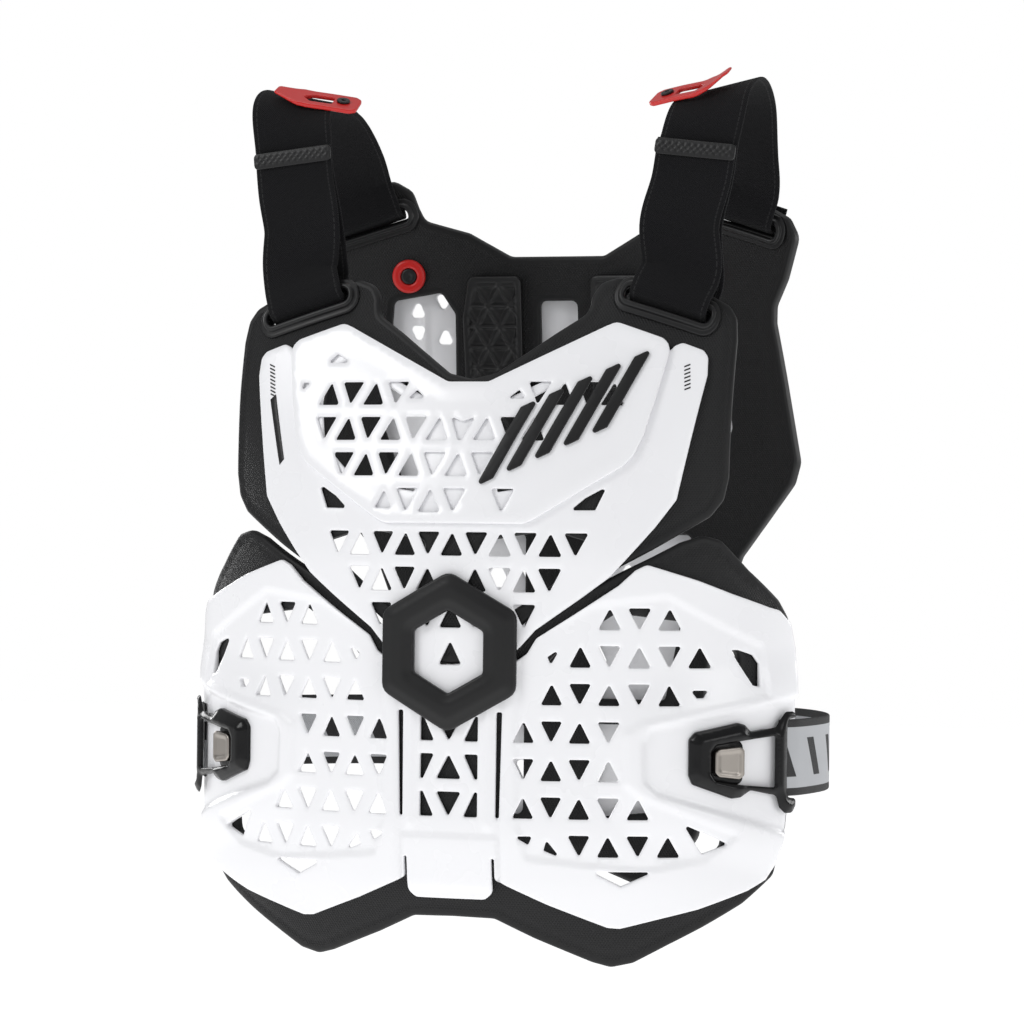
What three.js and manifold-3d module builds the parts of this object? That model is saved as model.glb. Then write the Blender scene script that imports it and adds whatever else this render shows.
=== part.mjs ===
// Motocross roost deflector: a moulded chest guard over black foam, a back panel, shoulder and side straps.
// Millimetres, +Z up, +X to the viewer's right, the chest faces -Y.
// The root group moves the origin to the point between the shoulder straps that carries the part.
import * as THREE from 'three';
import { mergeVertices } from 'three/addons/utils/BufferGeometryUtils.js';
import Module from 'manifold-3d';

const wasm = await Module();
wasm.setup();

// Driving sizes of the whole guard
const girthHalf = 214;       // half width of the girth ellipse that the panels follow
const girthDepth = 126;      // depth of that ellipse, front to side
const torsoDepth = 240;      // chest plates to the inner face of the back panel
const reach = 300;           // height unit of the panel outlines, above and below the chest line
const shoulderRise = 284;    // chest line to the top of the shoulder straps

// Walls and clearances
const plateWall = 2.5;
const foamWall = 8;
const backFoamWall = 9;
const layerGap = 0.4;
const padWall = 4;
const badgeWall = 6;
const barWall = 1.6;
const ringWall = 4;

// Straps, slots, buckles
const shoulderWidth = 54;
const sideWidth = 50;
const webbingWall = 2.4;
const slotLength = 60;
const slotHeight = 9;
const ringFlange = 7.5;
const frontSlotTilt = -17.5;
const backSlotTilt = -17.5;
const tabWall = 1.6;
const buckleLength = 80;
const buckleHeight = 66;
const buckleWall = 8;
const buttonSize = 20;
const buttonClearance = 0.4;
const shoulderPlateLength = 66;
const shoulderPlateDepth = 26;
const shoulderPlateWall = 3;
const shoulderPlateLift = 9;
const rivetRadius = 12;
const rivetWall = 3;

// Badge and graphic
const badgeRadius = 52;
const badgeBore = 27;
const badgeRise = -0.302;
const barThickness = 11;
const barPitch = 17.5;
const barCount = 5;

// Triangular perforations
const holeWidth = 14;
const holeHeight = 14;
const lowerRowPitch = 24.4;
const lowerColumnPitch = 18;
const lowerColumnGrowth = 0.25;
const lowerFirstColumn = 67.4;
const lowerFirstRow = -75;
const chestRowPitch = 23.3;
const chestColumnPitch = 16.2;
const chestFirstRow = 69;
const backHoleWidth = 20;
const backHoleHeight = 20;
const backColumnPitch = 24;

const COLOURS = {
  plate: { color: 0xe9e9ee, roughness: 0.3, metalness: 0 },
  foam: { color: 0x161617, roughness: 0.75, metalness: 0 },
  rubber: { color: 0x101011, roughness: 0.5, metalness: 0 },
  fabric: { color: 0x070708, roughness: 0.95, metalness: 0 },
  webbing: { color: 0xb9babd, roughness: 0.8, metalness: 0 },
  buckle: { color: 0x0c0c0d, roughness: 0.4, metalness: 0 },
  red: { color: 0xc9120c, roughness: 0.35, metalness: 0 },
  metal: { color: 0xb5aea6, roughness: 0.35, metalness: 1 },
};

// Sections of the front, from bottom to top: rise is a share of reach, setback and wrap of girthDepth
const FRONT_SECTIONS = [
  { rise: -1.08, setback: 0.13, wrap: 1 },
  { rise: -0.893, setback: 0.036, wrap: 1 },
  { rise: -0.783, setback: -0.02, wrap: 1 },
  { rise: -0.66, setback: -0.048, wrap: 1 },
  { rise: -0.12, setback: -0.048, wrap: 1 },
  { rise: 0.027, setback: 0, wrap: 0.92 },
  { rise: 0.133, setback: 0.079, wrap: 0.74 },
  { rise: 0.283, setback: 0.238, wrap: 0.45 },
  { rise: 0.417, setback: 0.381, wrap: 0.32 },
  { rise: 0.5, setback: 0.46, wrap: 0.3 },
  { rise: 0.65, setback: 0.57, wrap: 0.3 },
];

// Sections of the back, setback measured forward from torsoDepth
const BACK_SECTIONS = [
  { rise: -1, setback: 0.11, wrap: 0.5 },
  { rise: -0.82, setback: 0.03, wrap: 0.5 },
  { rise: -0.66, setback: -0.02, wrap: 0.5 },
  { rise: -0.1, setback: -0.02, wrap: 0.5 },
  { rise: 0.3, setback: 0.02, wrap: 0.48 },
  { rise: 0.5, setback: 0.07, wrap: 0.44 },
  { rise: 0.64, setback: 0.12, wrap: 0.4 },
  { rise: 0.86, setback: 0.17, wrap: 0.4 },
];

// A monotone cubic curve through the rows: level where the rows are level
function interpolate(rows, column, rise) {
  const last = rows.length - 1;
  let i = 0;
  while (i < last - 1 && rise > rows[i + 1].rise) i += 1;
  const secant = (k) => (rows[k + 1][column] - rows[k][column]) / (rows[k + 1].rise - rows[k].rise);
  const slope = (k) => {
    if (k === 0) return secant(0);
    if (k === last) return secant(last - 1);
    const before = secant(k - 1);
    const after = secant(k);
    return before * after <= 0 ? 0 : (2 * before * after) / (before + after);
  };
  const span = rows[i + 1].rise - rows[i].rise;
  const t = (rise - rows[i].rise) / span;
  const t2 = t * t;
  const t3 = t2 * t;
  return (2 * t3 - 3 * t2 + 1) * rows[i][column] + (t3 - 2 * t2 + t) * span * slope(i)
    + (3 * t2 - 2 * t3) * rows[i + 1][column] + (t3 - t2) * span * slope(i + 1);
}

// A panel gives the point at a girth angle and a height, moved outward by proud
function panel(rows, facing, lines) {
  const surface = (angle, z) => {
    const rise = z / reach;
    const setback = interpolate(rows, 'setback', rise) * girthDepth;
    const bulge = interpolate(rows, 'wrap', rise) * girthDepth * (1 - Math.cos(angle));
    const y = facing < 0 ? setback + bulge : torsoDepth - setback - bulge;
    return new THREE.Vector3(girthHalf * Math.sin(angle), y, z);
  };
  const point = (angle, z, proud) => {
    const step = 0.002;
    const across = surface(angle + step, z).sub(surface(angle - step, z));
    const along = surface(angle, z + step * reach).sub(surface(angle, z - step * reach));
    const normal = across.cross(along).normalize().multiplyScalar(facing < 0 ? 1 : -1);
    return surface(angle, z).addScaledVector(normal, proud);
  };
  return { point, facing, lines };
}

const angleAt = (x) => Math.asin(x / girthHalf);

// Length of the girth ellipse from the centre to an angle, and the angle at a length
function girthLength(angle) {
  const steps = 48;
  let length = 0;
  for (let i = 0; i < steps; i += 1) {
    const t = (angle * (i + 0.5)) / steps;
    length += Math.hypot(girthHalf * Math.cos(t), girthDepth * Math.sin(t)) * (angle / steps);
  }
  return length;
}

function angleAtLength(length) {
  let low = -Math.PI / 2;
  let high = Math.PI / 2;
  for (let i = 0; i < 40; i += 1) {
    const middle = (low + high) / 2;
    if (girthLength(middle) < length) low = middle;
    else high = middle;
  }
  return (low + high) / 2;
}

// Solids
function toSolid(geometry) {
  const bare = geometry.clone();
  bare.deleteAttribute('normal');
  bare.deleteAttribute('uv');
  const merged = mergeVertices(bare, 1e-4);
  return new wasm.Manifold(new wasm.Mesh({
    numProp: 3,
    vertProperties: Float32Array.from(merged.attributes.position.array),
    triVerts: Uint32Array.from(merged.index.array),
  }));
}

function toGeometry(solid) {
  const mesh = solid.getMesh();
  const geometry = new THREE.BufferGeometry();
  geometry.setAttribute('position', new THREE.BufferAttribute(Float32Array.from(mesh.vertProperties), 3));
  geometry.setIndex(new THREE.BufferAttribute(Uint32Array.from(mesh.triVerts), 1));
  return geometry;
}

// Moves every vertex of a geometry through a function and keeps the faces pointing out
function bent(geometry, move) {
  const result = geometry.clone();
  const position = result.attributes.position;
  const vertex = new THREE.Vector3();
  for (let i = 0; i < position.count; i += 1) {
    vertex.fromBufferAttribute(position, i);
    const moved = move(vertex);
    position.setXYZ(i, moved.x, moved.y, moved.z);
  }
  return signedVolume(result) < 0 ? flipped(result) : result;
}

function signedVolume(geometry) {
  const plain = geometry.index ? geometry.toNonIndexed() : geometry;
  const position = plain.attributes.position;
  const a = new THREE.Vector3();
  const b = new THREE.Vector3();
  const c = new THREE.Vector3();
  let volume = 0;
  for (let i = 0; i < position.count; i += 3) {
    a.fromBufferAttribute(position, i);
    b.fromBufferAttribute(position, i + 1);
    c.fromBufferAttribute(position, i + 2);
    volume += a.dot(b.cross(c)) / 6;
  }
  return volume;
}

function flipped(geometry) {
  const result = geometry.index ? geometry.toNonIndexed() : geometry.clone();
  result.deleteAttribute('normal');
  result.deleteAttribute('uv');
  const position = result.attributes.position;
  for (let i = 0; i < position.count; i += 3) {
    for (const axis of ['X', 'Y', 'Z']) {
      const first = position[`get${axis}`](i + 1);
      position[`set${axis}`](i + 1, position[`get${axis}`](i + 2));
      position[`set${axis}`](i + 2, first);
    }
  }
  return result;
}

const mirrored = (geometry) => bent(geometry, (v) => new THREE.Vector3(-v.x, v.y, v.z));

// Facet lines that every layer of a panel shares, so that neighbouring layers stay parallel:
// equal steps of angle, and heights as shares of reach, close together where the panel bends
const ANGLE_STEP = THREE.MathUtils.degToRad(10.8);
const COLUMNS = 16;
const PANEL_DEPTH = 16;
const BACK_START = 40;
const FRONT_LINES = [-1.08, -0.95, -0.82, -0.66, -0.12, 0.02, 0.13, 0.25, 0.37, 0.5, 0.62];
const BACK_LINES = [-1, -0.82, -0.66, -0.1, 0.3, 0.48, 0.65, 0.86];
const EDGE = 0.05;

// The space behind a panel's offset surface, down to a depth that no wall reaches
function spaceBehind(shape, proud, columns, lines, depth) {
  const rows = lines.length - 1;
  const box = new THREE.BoxGeometry(columns, 1, rows, columns, 1, rows);
  return toSolid(bent(box, (v) => shape.point(v.x * ANGLE_STEP, lines[Math.round(v.z + rows / 2)] * reach,
    v.y < 0 ? depth : proud)));
}

// A wall is the difference of two such spaces, so all walls share the same facets
function layer(shape, inner, outer) {
  const { lines } = shape;
  const wider = [lines[0] - EDGE, ...lines, lines[lines.length - 1] + EDGE];
  const space = spaceBehind(shape, outer, COLUMNS, lines, -PANEL_DEPTH);
  return space.subtract(spaceBehind(shape, inner, COLUMNS + 2, wider, -PANEL_DEPTH - 2));
}

const front = panel(FRONT_SECTIONS, -1, FRONT_LINES);
const back = panel(BACK_SECTIONS, 1, BACK_LINES);

const LAYERS = {
  frontFoam: [-(plateWall + layerGap + foamWall), -(plateWall + layerGap)],
  plates: [-plateWall, 0],
  innerPlate: [layerGap, layerGap + plateWall],
  backFoam: [0, backFoamWall],
  backShell: [backFoamWall + layerGap, backFoamWall + layerGap + plateWall],
};

// An outline lists the right half, from the centre line at the top round to the centre line below,
// as shares of girthHalf and reach. The block that it cuts runs straight from front to back.
function outlineBlock(shape, half) {
  const right = half.map(([across, rise]) => [across * girthHalf, rise * reach]);
  const left = right.filter(([x]) => x > 0).map(([x, z]) => [-x, z]).reverse();
  const outline = new THREE.Shape([...right, ...left].map(([x, z]) => new THREE.Vector2(x, z)));
  const block = new THREE.ExtrudeGeometry(outline, { depth: torsoDepth, bevelEnabled: false });
  const start = shape.facing < 0 ? -torsoDepth / 2 : torsoDepth / 2 + BACK_START;
  return toSolid(bent(block, (v) => new THREE.Vector3(v.x, start + v.z, v.y)));
}

// A straight prism through a panel along the normal at its middle, from an outline in millimetres
function cutter(shape, points, from, to, toAngle = angleAt) {
  const outline = new THREE.Shape(points.map(([x, z]) => new THREE.Vector2(x, z)));
  const prism = new THREE.ExtrudeGeometry(outline, { depth: 1, bevelEnabled: false });
  const centre = outline.getPoints().reduce((sum, p) => sum.add(p), new THREE.Vector2());
  centre.divideScalar(points.length);
  const middle = (from + to) / 2;
  const normal = shape.point(toAngle(centre.x), centre.y, 1).sub(shape.point(toAngle(centre.x), centre.y, 0));
  return toSolid(bent(prism, (v) => shape.point(toAngle(v.x), v.y, middle)
    .addScaledVector(normal, (v.z - 0.5) * (to - from))));
}

function cutAll(solid, cutters) {
  return cutters.reduce((rest, tool) => rest.subtract(tool), solid);
}

function triangle(x, base, width, height, up) {
  const half = width / 2;
  return up ? [[x - half, base], [x + half, base], [x, base + height]]
    : [[x, base], [x + half, base + height], [x - half, base + height]];
}

const mirrorPoints = (points) => points.map(([x, z]) => [-x, z]).reverse();
const sized = (points) => points.map(([across, rise]) => [across * girthHalf, rise * reach]);

// A rounded slot outline, turned by a tilt in degrees
function stadium(x, z, length, height, tilt) {
  const sides = 4;
  const turn = THREE.MathUtils.degToRad(tilt);
  const radius = height / 2;
  const points = [];
  for (let i = 0; i <= sides; i += 1) {
    const a = -Math.PI / 2 + (Math.PI * i) / sides;
    points.push([length / 2 - radius + radius * Math.cos(a), radius * Math.sin(a)]);
  }
  for (let i = 0; i <= sides; i += 1) {
    const a = Math.PI / 2 + (Math.PI * i) / sides;
    points.push([-length / 2 + radius + radius * Math.cos(a), radius * Math.sin(a)]);
  }
  return points.map(([px, pz]) => [
    x + px * Math.cos(turn) - pz * Math.sin(turn),
    z + px * Math.sin(turn) + pz * Math.cos(turn),
  ]);
}

// Slot centres, shares of girthHalf and reach
const FRONT_SLOT = { across: 0.585, rise: 0.455 };
const BACK_SLOT = { across: 0.636, rise: 0.677 };
const frontSlot = [FRONT_SLOT.across * girthHalf, FRONT_SLOT.rise * reach];
const backSlot = [BACK_SLOT.across * girthHalf, BACK_SLOT.rise * reach];

// Outlines
const INNER_PLATE = [
  [0, 0.28], [0.065, 0.28], [0.41, 0.404], [0.44, 0.413], [0.585, 0.378], [0.605, 0.366], [0.61, 0.347],
  [0.58, 0.24], [0.555, 0.165], [0.53, 0.122], [0.5, 0.098], [0.255, -0.015], [0.22, -0.027], [0, -0.027],
];

const OUTER_PLATE = [
  [0, 0.23], [0.08, 0.23], [0.46, 0.37], [0.56, 0.345], [0.61, 0.355], [0.622, 0.365], [0.645, 0.372],
  [0.71, 0.355], [0.725, 0.34], [0.727, 0.3], [0.66, 0.03], [0.603, -0.03], [0.547, -0.08], [0.48, -0.137],
  [0.397, -0.183], [0.262, -0.253], [0.22, -0.287], [0.15, -0.325], [0, -0.35],
];

const LOWER_PLATE = [
  [0, -0.367], [0.16, -0.342], [0.238, -0.303], [0.266, -0.27], [0.369, -0.222], [0.505, -0.155],
  [0.552, -0.122], [0.584, -0.11], [0.724, -0.143], [0.905, -0.2], [1.1, -0.26], [1.1, -0.72],
  [0.905, -0.79], [0.855, -0.812], [0.724, -0.85], [0.505, -0.892], [0.47, -0.89], [0.3, -0.842],
  [0.16, -0.797], [0.142, -0.79], [0.132, -0.82], [0.11, -0.835], [0, -0.835],
];
const LOWER_PLATE_SIDE = [
  [0.93, -0.1], [0.93, -0.207], [0.955, -0.235], [0.965, -0.29], [0.965, -0.46], [0.945, -0.68],
  [0.92, -0.76], [0.9, -0.79], [0.9, -0.9], [0.998, -0.9], [0.998, -0.1],
];

const UPPER_FOAM = [
  [0, 0.297], [0.075, 0.31], [0.25, 0.4], [0.34, 0.443], [0.345, 0.48], [0.37, 0.51], [0.43, 0.524],
  [0.6, 0.492], [0.72, 0.48], [0.775, 0.458], [0.8, 0.43], [0.808, 0.38], [0.808, 0.08], [0.795, 0.03],
  [0.76, -0.005], [0.6, -0.078], [0.39, -0.165], [0.34, -0.18], [0.25, -0.225], [0.075, -0.325], [0, -0.33],
];

const LOWER_FOAM = [
  [0, -0.345], [0.13, -0.332], [0.25, -0.242], [0.34, -0.197], [0.42, -0.162], [0.6, -0.093], [0.68, -0.06],
  [0.74, -0.045], [0.79, -0.055], [0.94, -0.185], [1.1, -0.3], [1.1, -0.72], [0.94, -0.775], [0.85, -0.845],
  [0.74, -0.895], [0.54, -0.973], [0.475, -0.983], [0.42, -0.972], [0.25, -0.922], [0.13, -0.882], [0, -0.88],
];
const LOWER_FOAM_SIDE = [
  [0.95, -0.05], [0.95, -0.2], [0.97, -0.25], [0.977, -0.31], [0.977, -0.48], [0.96, -0.68],
  [0.93, -0.785], [0.93, -0.95], [0.998, -0.95], [0.998, -0.05],
];

const BACK_FOAM = [
  [0, 0.603], [0.16, 0.603], [0.3, 0.66], [0.45, 0.69], [0.47, 0.72], [0.49, 0.76], [0.55, 0.785],
  [0.61, 0.775], [0.7, 0.72], [0.8, 0.68], [0.83, 0.635], [0.79, 0.54], [0.75, 0.48], [0.748, 0.44],
  [0.78, 0.32], [0.83, 0.12], [0.81, 0.07], [0.63, -0.1], [0.53, -0.3], [0.5, -0.45], [0.49, -0.75],
  [0.44, -0.81], [0.37, -0.85], [0.28, -0.87], [0.12, -0.83], [0, -0.83],
];

// Windows in the foam and the shell, right side first
const LOWER_FOAM_WINDOW = [
  [0.18, -0.74], [0.2, -0.4], [0.34, -0.29], [0.5, -0.215], [0.72, -0.235], [0.84, -0.3],
  [0.8, -0.72], [0.6, -0.8], [0.45, -0.82], [0.3, -0.76],
];
const CHEST_FOAM_WINDOW = [
  [0.08, 0.215], [0.1, 0.02], [0.34, 0.05], [0.48, 0.14], [0.53, 0.32], [0.42, 0.36],
];
const NECK_FOAM_WINDOW = [
  [0.09, -0.06], [0.13, -0.24], [0.3, -0.16], [0.46, -0.07], [0.3, -0.035],
];
const BACK_OUTER_WINDOW = [
  [0.36, 0.05], [0.52, 0.03], [0.6, 0.2], [0.56, 0.5], [0.4, 0.52], [0.355, 0.47],
];
const BACK_LOWER_WINDOW = [
  [0.12, -0.72], [0.36, -0.7], [0.38, -0.5], [0.12, -0.5],
];
const BACK_WAIST_WINDOW = [
  [0.12, -0.44], [0.37, -0.44], [0.42, -0.26], [0.46, -0.05], [0.12, -0.05],
];
const BACK_CENTRE_WINDOW = [
  [-0.065, 0.32], [0.065, 0.32], [0.065, 0.5], [-0.065, 0.5],
];

const bothSides = (shape, points, from, to) => [
  cutter(shape, points, from, to),
  cutter(shape, mirrorPoints(points), from, to),
];

const WINDOW_MARGIN = 12;
const HOLE_MARGIN = 2;

function windowCutters(shape, layerRange, outlines) {
  const [inner, outer] = layerRange;
  return outlines.flatMap((outline) => bothSides(shape, sized(outline),
    inner - WINDOW_MARGIN, outer + WINDOW_MARGIN));
}

function holeCutters(shape, layerRange, outlines) {
  const [inner, outer] = layerRange;
  return outlines.flatMap((points) => bothSides(shape, points, inner - HOLE_MARGIN, outer + HOLE_MARGIN));
}

// Perforations of the lower plate: the first and last column of each row, counted from the inner one
const LOWER_ROWS = [
  { first: 2, last: 4 },
  { first: 1, last: 5 },
  { first: 0, last: 4 },
  { first: -1, last: 2 },
  { first: -1, last: 2 },
  { first: -1, last: 3 },
  { first: 1, last: 4 },
];
const LOWER_LARGE = [
  [[0.815, -0.31], [0.83, -0.285], [0.885, -0.33], [0.865, -0.36]],
  [[0.69, -0.665], [0.81, -0.71], [0.74, -0.73]],
  [[0.43, -0.768], [0.61, -0.768], [0.515, -0.8]],
];

function lowerHoles() {
  const holes = [];
  LOWER_ROWS.forEach((row, i) => {
    for (let k = row.first; k <= row.last; k += 1) {
      const length = lowerFirstColumn + lowerColumnPitch * k + lowerColumnGrowth * Math.max(k, 0) ** 2;
      const x = girthHalf * Math.sin(angleAtLength(length));
      holes.push(triangle(x, lowerFirstRow - lowerRowPitch * i, holeWidth, holeHeight, (k + i) % 2 === 0));
    }
  });
  return [...holes, ...LOWER_LARGE.map(sized)];
}

// The slots that set the tail off from the lower plate
const TAIL_SLOT = [[0.147, -0.657], [0.158, -0.657], [0.165, -0.43], [0.148, -0.43]];
const TAIL_NOTCH = [[0.134, -0.9], [0.143, -0.9], [0.143, -0.745], [0.134, -0.745]];
const TAIL_ROWS = 3;
const TAIL_FIRST_ROW = 3;

function tailHoles() {
  const middle = [];
  const side = [];
  for (let i = 0; i < TAIL_ROWS; i += 1) {
    const base = lowerFirstRow - lowerRowPitch * (i + TAIL_FIRST_ROW);
    const up = i % 2 === 1;
    middle.push(triangle(0, base, holeWidth + 3, holeHeight + 2, up));
    const foot = up ? base + holeHeight + 2 : base;
    const tip = up ? base : base + holeHeight + 2;
    side.push([[10, foot], [19.5, foot], [19.5, tip], [17.5, tip]]);
  }
  return { middle, side };
}

// Perforations of the chest plate: rows down from the neckline
const CHEST_ROWS = [
  { first: 3, last: 7 },
  { first: 0, last: 7 },
  { first: 0, last: 6 },
  { first: 1, last: 3 },
];
const CHEST_LARGE = [[0.396, 0.324], [0.476, 0.3245], [0.45, 0.345]];

function chestHoles() {
  const left = [];
  const middle = [];
  const [fromProud, toProud] = [LAYERS.innerPlate[0] - HOLE_MARGIN, LAYERS.innerPlate[1] + HOLE_MARGIN];
  CHEST_ROWS.forEach((row, i) => {
    for (let k = row.first; k <= row.last; k += 1) {
      const points = triangle(-chestColumnPitch * k, chestFirstRow - chestRowPitch * i,
        holeWidth, holeHeight, (k + i) % 2 === 0);
      (k === 0 ? middle : left).push(points);
    }
  });
  left.push(mirrorPoints(sized(CHEST_LARGE)));
  const right = [
    ...[4, 5, 6].map((k) => triangle(chestColumnPitch * k, chestFirstRow,
      holeWidth, holeHeight, k % 2 === 0)),
    ...[1, 2].map((k) => triangle(chestColumnPitch * k, chestFirstRow - chestRowPitch,
      holeWidth, holeHeight, (k + 1) % 2 === 0)),
  ];
  return [...left, ...middle, ...right].map((points) => cutter(front, points, fromProud, toProud));
}

// Perforations below the inner plate: the rise of each row, and its first and last column
const BIB_ROWS = [
  { rise: -0.095, first: 0, last: 5 },
  { rise: -0.172, first: 2, last: 4 },
];

function bibHoles() {
  const range = LAYERS.plates;
  const cutters = [];
  BIB_ROWS.forEach((row, i) => {
    for (let k = row.first; k <= row.last; k += 1) {
      const points = triangle(chestColumnPitch * k, row.rise * reach, holeWidth, holeHeight, (k + i) % 2 === 0);
      const [a, b] = bothSides(front, points, range[0] - HOLE_MARGIN, range[1] + HOLE_MARGIN);
      cutters.push(a);
      if (k > 0) cutters.push(b);
    }
  });
  return cutters;
}

// Panels
function innerPlate() {
  const plate = layer(front, ...LAYERS.innerPlate).intersect(outlineBlock(front, INNER_PLATE));
  return cutAll(plate, chestHoles());
}

function outerPlate() {
  const plate = layer(front, ...LAYERS.plates).intersect(outlineBlock(front, OUTER_PLATE));
  const behind = sized(CHEST_FOAM_WINDOW);
  return cutAll(plate, [
    ...bibHoles(),
    ...bothSides(front, behind, LAYERS.plates[0] - WINDOW_MARGIN, LAYERS.plates[1] + WINDOW_MARGIN),
  ]);
}

function lowerPlate() {
  const plate = layer(front, ...LAYERS.plates).intersect(outlineBlock(front, LOWER_PLATE));
  const { middle, side } = tailHoles();
  return cutAll(plate, [
    ...windowCutters(front, LAYERS.plates, [LOWER_PLATE_SIDE]),
    ...holeCutters(front, LAYERS.plates, [...lowerHoles(), ...side, sized(TAIL_SLOT), sized(TAIL_NOTCH)]),
    ...middle.map((points) => cutter(front, points,
      LAYERS.plates[0] - HOLE_MARGIN, LAYERS.plates[1] + HOLE_MARGIN)),
  ]);
}

function upperFoam() {
  const foam = layer(front, ...LAYERS.frontFoam).intersect(outlineBlock(front, UPPER_FOAM));
  const slot = stadium(...frontSlot, slotLength, slotHeight, frontSlotTilt);
  return cutAll(foam, [
    ...windowCutters(front, LAYERS.frontFoam, [CHEST_FOAM_WINDOW, NECK_FOAM_WINDOW]),
    ...bothSides(front, slot, LAYERS.frontFoam[0] - WINDOW_MARGIN, LAYERS.frontFoam[1] + WINDOW_MARGIN),
  ]);
}

function lowerFoam() {
  const foam = layer(front, ...LAYERS.frontFoam).intersect(outlineBlock(front, LOWER_FOAM));
  return cutAll(foam, windowCutters(front, LAYERS.frontFoam, [LOWER_FOAM_WINDOW, LOWER_FOAM_SIDE]));
}

function backFoam() {
  const foam = layer(back, ...LAYERS.backFoam).intersect(outlineBlock(back, BACK_FOAM));
  const slot = stadium(...backSlot, slotLength, slotHeight, backSlotTilt);
  const [inner, outer] = LAYERS.backFoam;
  return cutAll(foam, [
    ...windowCutters(back, LAYERS.backFoam, [BACK_OUTER_WINDOW, BACK_LOWER_WINDOW, BACK_WAIST_WINDOW]),
    cutter(back, sized(BACK_CENTRE_WINDOW), inner - WINDOW_MARGIN, outer + WINDOW_MARGIN),
    ...bothSides(back, slot, inner - WINDOW_MARGIN, outer + WINDOW_MARGIN),
  ]);
}

// The white shell behind the back foam, 12 mm inside its edge, pierced where the foam has windows
const BACK_SHELL = [
  [0, 0.53], [0.6, 0.53], [0.66, 0.44], [0.69, 0.32], [0.74, 0.12], [0.72, 0.07], [0.56, -0.1],
  [0.47, -0.3], [0.44, -0.45], [0.43, -0.72], [0.37, -0.8], [0.28, -0.83], [0, -0.8],
];
const BACK_HOLE_ROWS = [
  { base: 0.25, first: 3, last: 4 },
  { base: 0.09, first: 3, last: 4 },
  { base: -0.18, first: 1, last: 3 },
  { base: -0.36, first: 1, last: 2 },
  { base: -0.66, first: 1, last: 2 },
];

function backShell() {
  const shell = layer(back, ...LAYERS.backShell).intersect(outlineBlock(back, BACK_SHELL));
  const cutters = [];
  const [inner, outer] = LAYERS.backShell;
  BACK_HOLE_ROWS.forEach((row, i) => {
    for (let k = row.first; k <= row.last; k += 1) {
      const points = triangle(backColumnPitch * k, row.base * reach, backHoleWidth, backHoleHeight,
        (k + i) % 2 === 0);
      const pair = bothSides(back, points, inner - HOLE_MARGIN, outer + HOLE_MARGIN);
      cutters.push(...(k > 0 ? pair : [pair[0]]));
    }
  });
  return cutAll(shell, cutters);
}

// A flat outline given a wall between two prouds, cut from the panel's own facets
function relief(shape, points, inner, outer, holes = []) {
  const tools = holes.map((hole) => cutter(shape, hole, inner - HOLE_MARGIN, outer + HOLE_MARGIN));
  const block = cutter(shape, points, inner - WINDOW_MARGIN, outer + WINDOW_MARGIN);
  return toGeometry(cutAll(layer(shape, inner, outer).intersect(block), tools));
}

// The same piece on the right and on the left
const reliefPair = (shape, points, inner, outer, holes = []) => [
  relief(shape, points, inner, outer, holes),
  relief(shape, mirrorPoints(points), inner, outer, holes.map(mirrorPoints)),
];

function polygon(x, z, radius, sides) {
  const points = [];
  for (let i = 0; i < sides; i += 1) {
    const a = Math.PI / sides + (2 * Math.PI * i) / sides;
    points.push([x + radius * Math.cos(a), z + radius * Math.sin(a)]);
  }
  return points;
}

const BADGE_SIDES = 6;
const badgeZ = badgeRise * reach;

function badge() {
  return relief(front, polygon(0, badgeZ, badgeRadius, BADGE_SIDES), layerGap, layerGap + badgeWall,
    [polygon(0, badgeZ, badgeBore, BADGE_SIDES)]);
}

// A graphic of slanted bars on the right of the chest plate
const BAR_ROWS = { startAcross: 0.07, startRise: 0.05, rise: 0.19, lean: 0.11, climb: 0.028 };

function graphicBars() {
  const proud = LAYERS.innerPlate[1] + layerGap;
  const bars = [];
  for (let i = 0; i < barCount; i += 1) {
    const x = BAR_ROWS.startAcross * girthHalf + barPitch * i;
    const z = (BAR_ROWS.startRise + BAR_ROWS.climb * i) * reach;
    const height = BAR_ROWS.rise * reach;
    const lean = BAR_ROWS.lean * girthHalf;
    bars.push(relief(front, [[x, z], [x + barThickness, z + barThickness / 2],
      [x + barThickness + lean, z + height], [x + lean, z + height - barThickness / 2]],
    proud, proud + barWall));
  }
  return bars;
}

function slotRing(shape, centre, tilt, inner, outer) {
  return reliefPair(shape, stadium(...centre, slotLength + 2 * ringFlange, slotHeight + 2 * ringFlange, tilt),
    inner, outer, [stadium(...centre, slotLength, slotHeight, tilt)]);
}

const BACK_PAD = [[0.12, 0.1], [0.31, 0.1], [0.325, 0.46], [0.3, 0.56], [0.12, 0.56]];

function backPad() {
  return reliefPair(back, sized(BACK_PAD), -(layerGap + padWall), -layerGap);
}

const RIVET = { across: 0.505, rise: 0.56 };

function rivet() {
  const sides = 12;
  const points = polygon(RIVET.across * girthHalf, RIVET.rise * reach, rivetRadius, sides);
  return reliefPair(back, points, -(layerGap + rivetWall), -layerGap);
}

// Ribbons: a thin box swept along a curve through keys, each with a point and a direction across
function ribbonFrame(keys, t) {
  const curve = new THREE.CatmullRomCurve3(keys.map((key) => key.at), false, 'centripetal');
  const place = curve.getPoint(t);
  const tangent = curve.getTangent(t);
  const last = keys.length - 1;
  const k = Math.min(Math.floor(t * last), last - 1);
  const wide = keys[k].across.clone().lerp(keys[k + 1].across, t * last - k);
  wide.addScaledVector(tangent, -wide.dot(tangent)).normalize();
  const thick = new THREE.Vector3().crossVectors(tangent, wide);
  return { place, tangent, wide, thick };
}

const tilted = (degrees) => {
  const turn = THREE.MathUtils.degToRad(degrees);
  return new THREE.Vector3(Math.cos(turn), 0, Math.sin(turn));
};

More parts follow.
